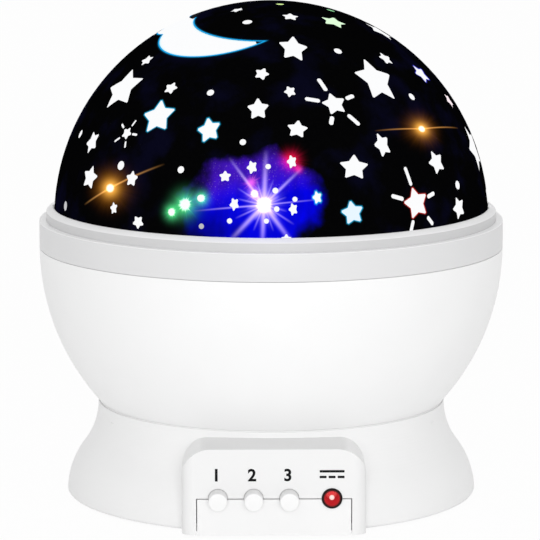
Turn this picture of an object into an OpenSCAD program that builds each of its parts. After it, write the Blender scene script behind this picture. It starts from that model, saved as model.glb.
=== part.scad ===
// Star night light projector: a round base with three buttons and a power socket, a bowl that a
// geared motor turns on it, and a lift-off cover with a dome masked by stars and a moon.
// Z is up, the floor is z = 0, the axis of the bowl is x = y = 0 and the panel faces -Y.

/* [Outer form] */
// Widest diameter, at the bowl rim and the collar
body_d = 125; // [115:0.5:150]
// Diameter of the base at its waist
waist_d = 93.8; // [88:0.2:98]
// Diameter of the base at the floor
foot_d = 111; // [108:0.5:122]
// Share of the base's flare that is the lower, convex curve
flare_share = 0.5; // [0.35:0.05:0.65]
// Wall of the base shell
base_wall = 2; // [1.5:0.1:2.6]
// Wall of the bowl
bowl_wall = 2.2; // [1.6:0.1:3]
// Gap between the turning bowl and the base
turn_gap = 0.3; // [0.2:0.05:0.6]
// Height of the shell's lower edge above the floor
foot_gap = 0.5; // [0.3:0.1:1]

/* [Cover] */
// Height of the collar
collar_h = 7.1; // [6:0.1:10]
// Height of the thin ring above the collar
ring_h = 2.4; // [1.6:0.1:4]
// Rise of the ring's sloping top
ring_slope = 1.1; // [0.6:0.1:2]
// Radial step from the collar to the ring
ring_step = 1.9; // [1.2:0.1:2.4]
// Radial step from the collar to the dome
dome_step = 4; // [3.7:0.1:6]
// Thickness of the star mask
mask_t = 0.35; // [0.25:0.05:0.6]
// Wall of the diffuser dome
dome_wall = 1.2; // [0.8:0.1:2]
// Depth of the spigot below the collar's lower edge
spigot_h = 3.5; // [2.5:0.1:3.8]

/* [Control panel] */
// Distance of the panel's face from the axis
panel_y = 57; // [56:0.1:58]
// Width of the panel's face
panel_w = 46.2; // [45:0.1:48]
// Height of the panel's face
panel_h = 23.1; // [22:0.1:23.4]
// Radius of the panel's upper corners
panel_corner = 7.4; // [4:0.1:8]
// Rounding of the panel's upright edges
panel_edge = 3; // [1:0.1:3.2]
// Wall of the panel
panel_wall = 1.8; // [1.4:0.1:2.2]
// Width of the lower insert
insert_w = 40.2; // [38:0.1:40.6]
// Dark seam around the insert
insert_seam = 0.25; // [0.15:0.05:0.5]

/* [Buttons and socket] */
// Height of the buttons and of the socket
button_z = 10.2; // [9:0.1:12]
// Diameter of a button
button_d = 4.9; // [4:0.1:5.6]
// Distance between buttons
button_pitch = 9.2; // [8.4:0.1:10]
// Place of the first button
button_x = -14.5; // [-15:0.1:-14]
// How far a button stands out of the panel
button_reach = 4.6; // [3:0.1:5]
// Travel of a button
button_travel = 0.8; // [0.4:0.1:1]
// Place of the power socket
socket_x = 14.9; // [14:0.1:15.5]
// Outer diameter of the socket's barrel
socket_d = 5.2; // [5:0.1:5.6]
// Bore of the socket, for a 3.5 mm plug
socket_bore = 3.8; // [3.6:0.05:4]
// Diameter of the socket's centre pin
socket_pin_d = 1.3; // [1:0.05:1.5]
// How far the socket's barrel stands out of the panel
socket_reach = 0.3; // [0:0.1:0.6]
// Length of the centre pin that a plug meets
socket_pin_l = 5.5; // [4:0.1:6.5]

/* [Drive] */
// Module of the gears
gear_module = 1; // [1:0.05:1.05]
// Teeth of the ring gear under the bowl
ring_teeth = 40; // [36:1:40]
// Teeth of the motor's pinion
pinion_teeth = 12; // [12:1:14]
// Width of the gears
gear_w = 4; // [3:0.1:5]
// Thinning of each tooth, for backlash
backlash = 0.14; // [0.1:0.02:0.2]
// Pressure angle
pressure_angle = 25; // [22:1:25]
// Diameter of the gear motor
motor_d = 24; // [20:0.5:24]
// Diameter of the motor shaft
motor_shaft_d = 3; // [2:0.1:4]

/* [Lamp] */
// Outer diameter of the fixed lamp column
column_d = 10; // [8:0.1:10]
// Wall of the lamp column
column_wall = 1.5; // [1:0.1:2]
// Diameter of the light board
led_board_d = 17; // [16:0.1:22]
// Height of the light board below the dome's centre
led_drop = 0.5; // [0:0.1:2]
// Diameter of the centre light
lamp_d = 5; // [4:0.1:6]

/* [Batteries] */
// Diameter of a cell
cell_d = 10.5; // [9.5:0.1:11.5]
// Length of a cell
cell_l = 44.5; // [43:0.1:45]
// Gap between neighbouring cells
cell_gap = 0.6; // [0.3:0.1:1]
// Free height between the cells and the bay's roof, which sets the height of the base
cell_headroom = 0.55; // [0.3:0.05:6]
// Gap between the gear motor and the battery bay
bay_gap = 4.25; // [3:0.05:5]

/* [Fits] */
// Radial clearance of a shaft that turns in its bore
running_fit = 0.05; // [0.03:0.01:0.08]
// Gap between pieces that are fixed together
seat_gap = 0.1; // [0.05:0.05:0.15]
// Gap between pieces that move past each other
free_gap = 0.3; // [0.2:0.05:0.4]

/* [Hidden] */
$fn = 96;
EPS = 0.01;
// Straight steps in each arc of the base's flare
ARC_STEPS = 14;

// Base levels, from the floor up: cover, door, cells, bay roof, column seat, gears, deck and lip
cover_t = 2;
cover_z = foot_gap + 0.7;
cover_top = cover_z + cover_t;
door_t = 1.6;
bay_clear = 0.35;
cell_z = cover_z + door_t + bay_clear + cell_d / 2;
roof_t = 1.5;
column_z = cell_z + cell_d / 2 + cell_headroom + roof_t;
column_seat_h = 1.4;
hub_z = column_z + column_seat_h + free_gap;
clip_room = 0.7;
gear_z = hub_z + clip_room;
gear_top = gear_z + gear_w;
deck_z = gear_top + free_gap;
deck_t = 2;
deck_top = deck_z + deck_t;
lip_h = 1;
base_h = deck_top + lip_h;

// Outer form
body_r = body_d / 2;
waist_r = waist_d / 2;
foot_r = foot_d / 2;
flare_angle = 2 * atan((foot_r - waist_r) / base_h);
flare_r = base_h / sin(flare_angle);
foot_curve = flare_r * flare_share;
neck_curve = flare_r - foot_curve;
edge_r = 0.8;

// Bowl levels
bowl_z = base_h + turn_gap;
bowl_foot_r = waist_r - 0.4;
rim_z = bowl_z + sqrt(pow(body_r, 2) - pow(bowl_foot_r, 2));
floor_t = 2.2;
floor_top = bowl_z + floor_t;
bowl_in_r = body_r - bowl_wall;

// Cover levels
collar_z = rim_z + turn_gap;
collar_top = collar_z + collar_h;
dome_r = body_r - dome_step;
dome_z = collar_top;
ring_r = body_r - ring_step;
ring_top = collar_top + ring_h;
spigot_z = collar_z - spigot_h;
spigot_r = bowl_in_r - 0.2;
spigot_wall = 2;
ledge_z = collar_z + 2;
flange_t = 1.5;
diffuser_r = dome_r - mask_t - 0.15;
diffuser_in_r = diffuser_r - dome_wall;
mask_skirt = 2.7;

// Panel
shell_z = foot_gap;
panel_back = 36;
shelf_t = 1.5;
shelf_depth = 4.7;
button_gap = 0.1;
button_r = button_d / 2;
button_xs = [for (i = [0:2]) button_x + i * button_pitch];
panel_in_y = panel_y - panel_wall;
flange_r = button_r + 0.85;
button_flange_t = 1;
board_t = 1.6;
switch_h = 3.5;
switch_w = 6;
plunger_r = 1.7;
plunger_out = 1.7;
plunger_in = 1.6;
stem_l = 2.7;
flange_y = panel_in_y - free_gap;
plunger_y = flange_y - button_flange_t - stem_l;
switch_y = plunger_y - plunger_out;
board_y = switch_y - switch_h;
board_z = cover_top + shelf_t + 0.3;
board_h = 14.3;
board_edge = 0.6;
rail_h = 9;
rail_w = 1.9;
socket_w = 8;
socket_h = 9;
board_w = 2 * (socket_x + socket_w / 2 + board_edge);
socket_r = socket_d / 2;
socket_y = panel_y + socket_reach;
socket_floor_y = socket_y - socket_pin_l - 1.2;
pin_root_r = socket_pin_d / 2 + 0.2;
lens_t = 0.4;
lens_y = socket_y - 0.8;

// Drive
ring_pitch_r = gear_module * ring_teeth / 2;
pinion_pitch_r = gear_module * pinion_teeth / 2;
motor_r = motor_d / 2;
motor_y = -(ring_pitch_r + pinion_pitch_r);
motor_z = cover_top + 0.5;
motor_h = 10;
motor_plate_t = 1;
motor_nose_r = 4;
motor_nose_h = 1.2;
ear_r = 3.2;
ear_x = motor_r + 5.5;

// Batteries
cell_count = 4;
cell_pitch = cell_d + cell_gap;
bay_l = cell_l + 5.5;
bay_w = cell_pitch * (cell_count - 1) + cell_d + 2 * bay_clear;
bay_wall = 1.5;
bay_y = motor_y + motor_r + bay_gap + bay_wall + bay_w / 2;
contact_t = 0.5;
contact_w = cell_d - 2.1;
hinge_r = 1.3;
hinge_pin_r = 0.8;
hinge_z = cover_z + hinge_r;
door_edge = bay_y + bay_w / 2 - 0.3;
hinge_y = door_edge + 1.9;
hinge_x = 16;
hinge_w = 6;

// Turntable hub and bush
column_r = column_d / 2;
bush_r = column_r + 2;
hub_r = bush_r + 2;
spline_r = hub_r - 0.8;
hub_flange_r = hub_r + 7;
hub_flange_t = 2;
hub_screw_r = hub_r + 3.6;
bush_h = 10;
key_w = 1.6;
gear_hole_r = 2.6;
washer_r = 28;
washer_t = lip_h + turn_gap - 0.2;

// Screws: head radius, head height, shank radius
screw_head_r = 2.6;
screw_head_h = 1.6;
screw_r = 1.2;
screw_hole_r = screw_r + 0.05;
base_screw_l = 9;
motor_screw_l = 6;
deck_screw_l = 8;

// Places that screws, posts and feet share
boss_angles = [15, 165, 205, 335];
boss_at = 44;
boss_r = 3.3;
boss_h = 2;
foot_angles = [47, 133, 227, 313];
foot_at = 46;
pad_r = 3.9;
pad_sink = 0.5;
post_angles = [45, 135, 225, 315];
post_at = 38;
post_r = 3.2;
reflector_t = 2;
reflector_top = spigot_z - 1.2;
reflector_z = reflector_top - reflector_t;

// Lamp
led_board_t = 1.2;
led_board_z = dome_z - led_drop - led_board_t;
holder_h = 4;
holder_z = led_board_z - holder_h + 1;
small_led_r = 1.6;
small_led_at = led_board_d / 2 - 2.6;

// Pattern of windows in the mask. Azimuth runs from the front towards +X, elevation up from the
// dome's centre and turn is clockwise from outside, all in degrees. Sizes are in mm.
// Stars: azimuth, elevation, tip radius, turn, upright stretch
stars = [
  [-60.6, 49.7, 2.6, -29, 0.85], [-61, 40, 7.6, -21, 0.9], [-37.4, 41.9, 2.3, 9, 0.95],
  [-37.4, 33.4, 5.1, -13, 1], [-19.2, 30.6, 3.3, -17, 1.14], [-62.2, 24, 3.3, -31, 1.05],
  [-57.7, 15, 3.8, 5, 0.9], [-40.6, 16.4, 2.3, -1, 1.04], [-13, 18.6, 1.8, -3, 0.95],
  [-5.9, 21.1, 1.6, -24, 1.3], [-4.3, 47.7, 2.2, 21, 1.1], [-4.9, 36.8, 3.1, -4, 1.15],
  [-45.5, 8.4, 1.6, -15, 1.15], [-36.8, 5.7, 2.1, 35, 0.95], [-10.2, 11.7, 1.45, -29, 1.35],
  [-44, 77, 1.9, 0, 1.2], [16.2, 72.8, 2.5, 17, 1.1], [48.6, 68.2, 3.8, -23, 1],
  [9.6, 57, 4.1, 12, 1.38], [53.5, 50.8, 2.4, 6, 1.1], [39.8, 44.4, 6.1, 7, 1.25],
  [69.5, 43.8, 3.6, -6, 0.92], [5.6, 42, 1.8, -22, 1.15], [77.6, 34.2, 2.8, -15, 0.95],
  [6.9, 31.1, 3, 10, 0.92], [32.1, 25.8, 2.7, -16, 1.38], [22, 20.5, 4.35, 7, 0.83],
  [50.5, 19.6, 3.5, -15, 1], [20.3, 9.1, 3.3, -8, 1], [11.1, 13.3, 1.4, -15, 1.35],
  [4.8, 10.5, 1.35, -19, 1.4], [4.8, 22.5, 1.5, -16, 1.4], [57, 7, 3.3, -18, 1],
  [87, 6, 4.5, 10, 1], [84, 60, 5, 0, 1], [80, 20, 7, -12, 1], [3, 3, 1.6, 0, 1]
];
// Dots: azimuth, elevation, radius
dots = [
  [-18.5, 69.4, 1.3], [-21.6, 41.3, 0.97], [-73, 25, 1.15], [-45.6, 19.4, 1.2], [-25.6, 19.8, 0.92],
  [-8.8, 27.6, 0.83], [-70, 6, 1.3], [-18.6, 5.9, 0.7], [-11.3, 7.5, 0.68], [-2, 7.6, 0.65],
  [22, 84, 1.1], [80, 74, 1.2], [30.6, 55.2, 1.1], [52, 38, 1.05], [58, 12.8, 1.15],
  [5.3, 13, 0.65], [0.3, 15.2, 0.75], [0.6, 10.6, 0.7], [-27, 9, 0.9], [-23.2, 11.2, 1.2],
  [-19.2, 12.9, 0.9], [-1.6, 21.3, 0.7]
];
// Bursts: azimuth, elevation, tip radius, turn, ray width, then each ray's angle from the right,
// start and end
bursts = [
  [-47.2, 27.9, 2, 20, 0.65,
    [[69, 2.25, 4.2], [144.5, 2.25, 4.1], [0, 2, 3.95], [-73, 2.25, 4.1], [-144, 2.35, 4.5]]],
  [19.8, 37.9, 3.6, -8, 1.2,
    [[106, 4.2, 8.5], [163, 3.8, 7.75], [22, 3.8, 6.6], [-111, 3.8, 6.4], [-48, 4.4, 8.45]]],
  [39.8, 10.1, 4.4, -10, 1.1,
    [[101, 4.7, 9.8], [161, 4.3, 8.3], [16, 4.3, 7.4], [-110, 4.5, 9], [-48, 5.15, 8.2]]]
];
star_waist = 0.55;
star_blunt = 0.35;
window_cut = 8;
// The second set, at the back, stays below the crescent
back_highest = 70;
// Crescent: azimuth, elevation and angular radius of its outer and inner circles
moon_outer = [-41, 71, 18.2];
moon_inner = [-7, 79.5, 19.6];

// Colours
WHITE = "white";
GREY = "lightgray";
BLACK = [0.02, 0.02, 0.02];
STEEL = "silver";

// ---------- shared shapes ----------

// Points of an arc, without its last one
function arc(center, r, from, to) =
  [for (i = [0:ARC_STEPS - 1]) let (a = from + (to - from) * i / ARC_STEPS) center + r * [cos(a), sin(a)]];

// Side of the base's flared body between two heights, moved inwards by inset
function flare_side(inset, low, high) =
  let (
    foot_in = foot_curve - inset,
    neck_in = neck_curve + inset,
    neck_end = 180 + asin((base_h - high) / neck_in)
  )
  concat(
    arc([foot_r - foot_curve, 0], foot_in, asin(low / foot_in), flare_angle),
    arc([waist_r + neck_curve, base_h], neck_in, 180 + flare_angle, neck_end),
    [[waist_r + neck_curve + neck_in * cos(neck_end), high]]
  );

// Ring or disc from its inner radius, outer radius, lower level and height
module ring(inner, outer, z, h) {
  translate([0, 0, z]) difference() {
    cylinder(r = outer, h = h);
    if (inner > 0) translate([0, 0, -1]) cylinder(r = inner, h = h + 2);
  }
}

// Copies the children around the axis at a radius and a list of angles
module around(radius, angles) {
  for (a = angles) rotate([0, 0, a]) translate([radius, 0, 0]) children();
}

// Cylinder along -Y that starts at y = -from and ends at y = -to
module along_y(x, z, r, from, to) {
  translate([x, -from, z]) rotate([90, 0, 0]) cylinder(r = r, h = to - from);
}

// Upright plate between two distances from the axis
module plate_y(width, low, high, from, to) {
  translate([-width / 2, -to, low]) cube([width, to - from, high - low]);
}

// Block from low to h with its upper corners rounded in front view and its front edges in plan
module panel_block(width, low, h, from, to, corner, edge) {
  intersection() {
    rotate([90, 0, 0]) translate([0, 0, from]) linear_extrude(to - from) {
      translate([-width / 2, low]) square([width, h - corner - low]);
      translate([corner - width / 2, low]) square([width - 2 * corner, h - low]);
      for (side = [-1, 1]) translate([side * (width / 2 - corner), h - corner]) circle(corner);
    }
    translate([0, 0, low]) linear_extrude(h - low) {
      translate([-width / 2, edge - to]) square([width, to - from - edge]);
      translate([edge - width / 2, -to]) square([width - 2 * edge, to - from]);
      for (side = [-1, 1]) translate([side * (width / 2 - edge), edge - to]) circle(edge);
    }
  }
}

// Pan head screw with its head's seat at z = 0 and its shank going up
module screw(length) {
  translate([0, 0, -screw_head_h]) cylinder(r = screw_head_r - 0.3, h = 0.3 + EPS);
  translate([0, 0, 0.3 - screw_head_h]) cylinder(r = screw_head_r, h = screw_head_h - 0.3);
  cylinder(r = screw_r, h = length);
}

// Half angle of a tooth at radius r, for a gear of the given pitch and base radii
function tooth_half(r, pitch_r, base_r, teeth) =
  let (roll = acos(min(1, base_r / r)), rolled = tan(pressure_angle) * 180 / PI - pressure_angle)
  90 / teeth - backlash / 2 / pitch_r * 180 / PI + rolled - (tan(roll) * 180 / PI - roll);

// Outline of an involute gear with one tooth on +X
function gear_outline(teeth) =
  let (
    pitch_r = gear_module * teeth / 2,
    base_r = pitch_r * cos(pressure_angle),
    root_r = pitch_r - 1.25 * gear_module,
    flank_r = max(base_r, root_r),
    tip_r = pitch_r + gear_module,
    rise = [for (j = [0:3]) flank_r + (tip_r - flank_r) * j / 3],
    foot = tooth_half(flank_r, pitch_r, base_r, teeth)
  )
  [for (i = [0:teeth - 1]) let (mid = 360 * i / teeth) each concat(
    [root_r * [cos(mid - foot), sin(mid - foot)]],
    [for (r = rise) let (a = mid - tooth_half(r, pitch_r, base_r, teeth)) r * [cos(a), sin(a)]],
    [for (j = [3:-1:0]) let (r = rise[j], a = mid + tooth_half(r, pitch_r, base_r, teeth)) r * [cos(a), sin(a)]],
    [root_r * [cos(mid + foot), sin(mid + foot)]]
  )];

// Five-pointed star outline with blunt tips. Its first tip is on +Y before the star is turned
// clockwise and stretched upright.
function star_outline(r, turn, stretch) =
  let (
    cut = min(star_blunt, r / 6),
    valley = r * star_waist * [sin(36), cos(36)],
    half = cut * valley[0] / (r - valley[1])
  )
  [for (i = [0:4], p = [[-half, r - cut], [half, r - cut], valley]) let (a = -turn - 72 * i)
    [p[0] * cos(a) - p[1] * sin(a), stretch * (p[0] * sin(a) + p[1] * cos(a))]];

// Moves children from the dome's centre line out to its surface
module on_dome(az, el) {
  translate([0, 0, dome_z]) rotate([90 - el, 0, az]) translate([0, 0, dome_r - window_cut / 2])
    children();
}

// ---------- base ----------

module base_body() {
  bottom = shell_z + edge_r;
  edge = foot_r - foot_curve + sqrt(pow(foot_curve, 2) - pow(bottom, 2)) - edge_r;
  rotate_extrude() polygon(concat(
    [[0, shell_z]], arc([edge, bottom], edge_r, -90, 0), flare_side(0, bottom, base_h), [[0, base_h]]
  ));
  panel_block(panel_w, shell_z, panel_h, panel_back, panel_y, panel_corner, panel_edge);
}

module base_cavity() {
  rotate_extrude() polygon(concat(
    [[0, -1], [foot_r - base_wall, -1]], flare_side(base_wall, 0, deck_z), [[0, deck_z]]
  ));
  panel_block(panel_w - 2 * panel_wall, -1, panel_h - panel_wall, panel_back - 1, panel_in_y,
    panel_corner - panel_wall, panel_edge / 2);
}

module base_shell() {
  color(WHITE) {
    difference() {
      base_body();
      base_cavity();
      translate([0, 0, deck_top]) cylinder(r = waist_r - base_wall, h = lip_h + 1);
      translate([0, 0, deck_z - 1]) cylinder(r = hub_r + 0.5, h = deck_t + 2);
      plate_y(insert_w, -1, button_z, panel_in_y - 1, panel_y + 1);
      for (x = button_xs) along_y(x, button_z, button_r + button_gap, panel_in_y - 2, panel_y + 2);
      along_y(socket_x, button_z, socket_r + seat_gap, panel_in_y - 2, panel_y + 2);
    }
    around(boss_at, boss_angles) difference() {
      translate([0, 0, cover_top + boss_h]) cylinder(r = boss_r, h = deck_z - cover_top - boss_h + EPS);
      translate([0, 0, cover_top]) cylinder(r = screw_hole_r, h = base_screw_l + 3);
    }
  }
}

// Space that the door and the cells need, open below
module bay_opening() {
  translate([-bay_l / 2, bay_y - bay_w / 2, cover_z - 1]) cube([bay_l, bay_w, column_z - roof_t - cover_z + 1]);
  translate([-bay_l / 2, bay_y + bay_w / 2 - 1, cover_z - 1]) cube([bay_l, 1.6, cover_t + 1]);
}

module bottom_cover() {
  cover_r = foot_r - base_wall - 0.6;
  color(WHITE) difference() {
    union() {
      translate([0, 0, cover_z]) cylinder(r = cover_r, h = cover_t);
      plate_y(panel_w - 2 * panel_wall - 0.7, cover_z, cover_top, panel_back, panel_in_y - 0.3);
      translate([-bay_l / 2 - bay_wall, bay_y - bay_w / 2 - bay_wall, cover_z])
        cube([bay_l + 2 * bay_wall, bay_w + 2 * bay_wall, column_z - cover_z]);
      around(boss_at, boss_angles) translate([0, 0, cover_z]) cylinder(r = boss_r + 0.9, h = cover_t + boss_h);
      for (side = [-1, 1]) translate([side * hinge_x, 0, 0])
        translate([-hinge_w / 2 - 3, hinge_y - 2, cover_top - EPS]) cube([hinge_w + 6, 4, 1.7]);
      for (side = [-1, 1]) translate([side * ear_x, motor_y, cover_top - EPS])
        cylinder(r = ear_r - 0.2, h = motor_z + motor_h - cover_top);
      translate([0, motor_y, cover_top - EPS]) cylinder(r = motor_r - 2, h = motor_z - cover_top);
      for (side = [-1, 1]) translate([side * (board_w / 2 + 0.5) - rail_w / 2, -board_y - 1.3, cover_top - EPS])
        cube([rail_w, board_t + 2.6, rail_h]);
      ring(column_r + seat_gap, column_r + 2, column_z - EPS, column_seat_h);
    }
    bay_opening();
    for (side = [-1, 1]) translate([side * hinge_x, 0, 0]) {
      translate([-hinge_w / 2 - free_gap, hinge_y - 2.6, cover_z - 1])
        cube([hinge_w + 2 * free_gap, 4.4, 1 + 2 * hinge_r + free_gap]);
      translate([-hinge_w / 2 - 2.2, hinge_y, hinge_z]) rotate([0, 90, 0])
        cylinder(r = hinge_pin_r + running_fit, h = hinge_w + 4.4);
    }
    around(boss_at, boss_angles) {
      translate([0, 0, cover_z - 1]) cylinder(r = screw_head_r + 0.4, h = 1 + screw_head_h + 0.4);
      translate([0, 0, cover_z]) cylinder(r = screw_r + 0.3, h = cover_t + boss_h + 1);
    }
    around(foot_at, foot_angles) translate([0, 0, cover_z - 1]) cylinder(r = pad_r + 0.2, h = 1 + pad_sink);
    for (side = [-1, 1]) translate([side * ear_x, motor_y, cover_top + 1]) cylinder(r = screw_hole_r, h = motor_h);
    translate([-board_w / 2 - seat_gap, -board_y - seat_gap, board_z])
      cube([board_w + 2 * seat_gap, board_t + 2 * seat_gap, board_h]);
    translate([0, -column_r - 1, column_z]) translate([-1.5, -3, EPS]) cube([3, 5, column_seat_h + 1]);
  }
}

module panel_insert() {
  color(WHITE) difference() {
    union() {
      plate_y(insert_w - 2 * insert_seam, shell_z, button_z - insert_seam, panel_in_y, panel_y);
      plate_y(board_w - 5, cover_top, cover_top + shelf_t, panel_in_y - shelf_depth, panel_in_y + EPS);
    }
    for (x = button_xs) along_y(x, button_z, button_r + button_gap, panel_in_y - 1, panel_y + 1);
    along_y(socket_x, button_z, socket_r + seat_gap, panel_in_y - 1, panel_y + 1);
  }
}

module feet() {
  color("dimgray") around(foot_at, foot_angles) {
    cylinder(r1 = pad_r - 0.4, r2 = pad_r, h = 0.4);
    translate([0, 0, 0.4 - EPS]) cylinder(r = pad_r, h = cover_z + pad_sink - 0.4 + EPS);
  }
}

module base_screws() {
  color(STEEL) around(boss_at, boss_angles) translate([0, 0, cover_z + screw_head_h + 0.4]) screw(base_screw_l);
}

// ---------- controls ----------

module control_board() {
  color("seagreen") difference() {
    translate([-board_w / 2, -board_y, board_z]) cube([board_w, board_t, board_h]);
    translate([0, 0, board_z + board_h - 3]) for (side = [-1, 1]) along_y(side * (board_w / 2 - 2.5), 0, 1.2,
      board_y - board_t - 1, board_y + 1);
  }
}

module tact_switches() {
  color(BLACK) for (x = button_xs) difference() {
    translate([x - switch_w / 2, -switch_y, button_z - switch_w / 2]) cube([switch_w, switch_h, switch_w]);
    along_y(x, button_z, plunger_r + seat_gap, switch_y - plunger_in - button_travel - 0.5, switch_y + 1);
  }
}

module controller_chip() {
  color(BLACK) translate([-4, board_t - board_y, button_z - 3]) cube([8, 1.6, 6]);
}

// One button: cap, flange behind the panel and stem
module button(x) {
  color(WHITE) {
    along_y(x, button_z, button_r - 0.35, panel_y + button_reach - 0.35 - EPS, panel_y + button_reach);
    along_y(x, button_z, button_r, flange_y - EPS, panel_y + button_reach - 0.35);
    along_y(x, button_z, flange_r, flange_y - button_flange_t, flange_y);
    along_y(x, button_z, plunger_r, plunger_y, flange_y - button_flange_t + EPS);
  }
}

// Plunger of one switch, pushed by the button's stem
module plunger(x) {
  color("dimgray") along_y(x, button_z, plunger_r, switch_y - plunger_in, plunger_y);
}

module button_1() { button(button_xs[0]); }
module button_2() { button(button_xs[1]); }
module button_3() { button(button_xs[2]); }
module plunger_1() { plunger(button_xs[0]); }
module plunger_2() { plunger(button_xs[1]); }
module plunger_3() { plunger(button_xs[2]); }

module dc_socket() {
  color(BLACK) difference() {
    union() {
      translate([socket_x - socket_w / 2, -panel_in_y + 0.3, button_z - socket_h / 2])
        cube([socket_w, panel_in_y - 0.3 - board_y, socket_h]);
      along_y(socket_x, button_z, socket_r, panel_in_y - 1, socket_y);
    }
    along_y(socket_x, button_z, socket_bore / 2 + lens_t + seat_gap / 2, socket_floor_y - lens_t - seat_gap / 2,
      lens_y + seat_gap / 2);
    along_y(socket_x, button_z, socket_bore / 2, socket_floor_y, socket_y + 1);
    along_y(socket_x, button_z, pin_root_r + seat_gap, board_y + 1, socket_y);
  }
}

module socket_pin() {
  color(STEEL) {
    along_y(socket_x, button_z, pin_root_r, board_y + 1, socket_floor_y);
    along_y(socket_x, button_z, socket_pin_d / 2, socket_floor_y - EPS, socket_floor_y + socket_pin_l);
  }
}

// Lit cup that lines the socket's bore behind its lip
module socket_light() {
  color([1, 0.1, 0.08]) difference() {
    along_y(socket_x, button_z, socket_bore / 2 + lens_t, socket_floor_y - lens_t, lens_y);
    along_y(socket_x, button_z, socket_bore / 2, socket_floor_y, socket_y);
    along_y(socket_x, button_z, pin_root_r + seat_gap, board_y, socket_y);
  }
}

// ---------- batteries ----------

// Copies the children to each cell's axis, every other one turned end for end
module at_cells() {
  for (i = [0:cell_count - 1])
    translate([0, bay_y + (i - (cell_count - 1) / 2) * cell_pitch, cell_z]) rotate([0, 0, 180 * (i % 2)]) children();
}

module battery_cells() {
  color("goldenrod") at_cells() rotate([0, 90, 0]) {
    translate([0, 0, -cell_l / 2 + 0.5]) cylinder(r = cell_d / 2, h = cell_l - 1.3);
    translate([0, 0, cell_l / 2 - 0.8 - EPS]) cylinder(r = 1.9, h = 0.8 + EPS);
  }
}

// Conical spring along +Z, a five-sided wire that winds around the axis
module coil(wide, narrow, wire, h) {
  turns = 3;
  steps = 10 * turns;
  sides = 5;
  points = [for (i = [0:steps], k = [0:sides - 1])
    let (t = i / steps, a = 360 * turns * t, b = 360 * k / sides, r = wide + (narrow - wide) * t + wire * cos(b))
    [r * cos(a), r * sin(a), wire + (h - 2 * wire) * t + wire * sin(b)]];
  tube = [for (i = [0:steps - 1], k = [0:sides - 1])
    let (n = (k + 1) % sides) each [
      [sides * i + k, sides * i + n, sides * (i + 1) + n],
      [sides * i + k, sides * (i + 1) + n, sides * (i + 1) + k]
    ]];
  ends = [[for (k = [sides - 1:-1:0]) k], [for (k = [0:sides - 1]) sides * steps + k]];
  polyhedron(points, concat(tube, ends));
}

module cell_springs() {
  h = bay_l / 2 + 0.5 - cell_l / 2 - contact_t;
  color(STEEL) at_cells() translate([contact_t - bay_l / 2, 0, 0]) rotate([0, 90, 0])
    coil(3.4, 1.8, 0.35, h);
}

module cell_plates() {
  nub = bay_l / 2 - cell_l / 2 - contact_t;
  color(STEEL) at_cells() {
    for (x = [-bay_l / 2, bay_l / 2 - contact_t])
      translate([x, -contact_w / 2, -contact_w / 2]) cube([contact_t, contact_w, contact_w]);
    translate([bay_l / 2 - contact_t - nub, -1.5, -2.5]) cube([nub + EPS, 3, 5]);
  }
}

module battery_door() {
  door_l = bay_l - 0.6;
  door_front = bay_y - bay_w / 2 + 0.3;
  color(WHITE) {
    difference() {
      translate([-door_l / 2, door_front, cover_z]) cube([door_l, door_edge - door_front, door_t]);
      for (side = [-1, 1]) translate([side * 5 - 0.4, door_front - 1, cover_z - 1]) cube([0.8, 7, door_t + 2]);
      for (i = [0:3]) translate([-3, door_front + 1.6 + 1.2 * i, cover_z - 1]) cube([6, 0.5, 1.4]);
    }
    for (side = [-1, 1]) translate([side * hinge_x, 0, 0]) {
      translate([-hinge_w / 2, hinge_y, hinge_z]) rotate([0, 90, 0]) cylinder(r = hinge_r, h = hinge_w);
      translate([-hinge_w / 2, door_edge - 1, cover_z]) cube([hinge_w, hinge_y - door_edge + 1, door_t]);
      translate([-hinge_w / 2 - 2, hinge_y, hinge_z]) rotate([0, 90, 0]) cylinder(r = hinge_pin_r, h = hinge_w + 4);
    }
  }
}

// ---------- drive ----------

module gear_motor() {
  plate_z = motor_z + motor_h;
  color(STEEL) translate([0, motor_y, 0]) difference() {
    union() {
      translate([0, 0, motor_z]) cylinder(r = motor_r, h = motor_h + motor_plate_t);
      translate([-ear_x, -ear_r, plate_z]) cube([2 * ear_x, 2 * ear_r, motor_plate_t]);
      for (side = [-1, 1]) translate([side * ear_x, 0, plate_z]) cylinder(r = ear_r, h = motor_plate_t);
      translate([0, 0, plate_z]) cylinder(r = motor_nose_r, h = motor_plate_t + motor_nose_h);
    }
    for (side = [-1, 1]) translate([side * ear_x, 0, plate_z - 1]) cylinder(r = screw_r + 0.2, h = 4);
    translate([0, 0, plate_z - 3]) cylinder(r = motor_shaft_d / 2 + running_fit, h = 10);
  }
}

module motor_screws() {
  color(STEEL) for (side = [-1, 1])
    translate([side * ear_x, motor_y, motor_z + motor_h + motor_plate_t]) rotate([180, 0, 0]) screw(motor_screw_l);
}

module motor_shaft() {
  low = motor_z + motor_h - 2.7;
  color(STEEL) translate([0, motor_y, low]) difference() {
    cylinder(r = motor_shaft_d / 2, h = gear_top - low);
    translate([motor_shaft_d / 2 - 0.4, -5, gear_z - low]) cube([5, 10, gear_w + 1]);
  }
}

module drive_pinion() {
  color("ivory") translate([0, motor_y, gear_z]) difference() {
    rotate([0, 0, 90 + 180 / pinion_teeth]) linear_extrude(gear_w) polygon(gear_outline(pinion_teeth));
    translate([0, 0, -1]) difference() {
      cylinder(r = motor_shaft_d / 2 + 0.02, h = gear_w + 2);
      translate([motor_shaft_d / 2 - 0.38, -5, 0]) cube([5, 10, gear_w + 2]);
    }
  }
}

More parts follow.
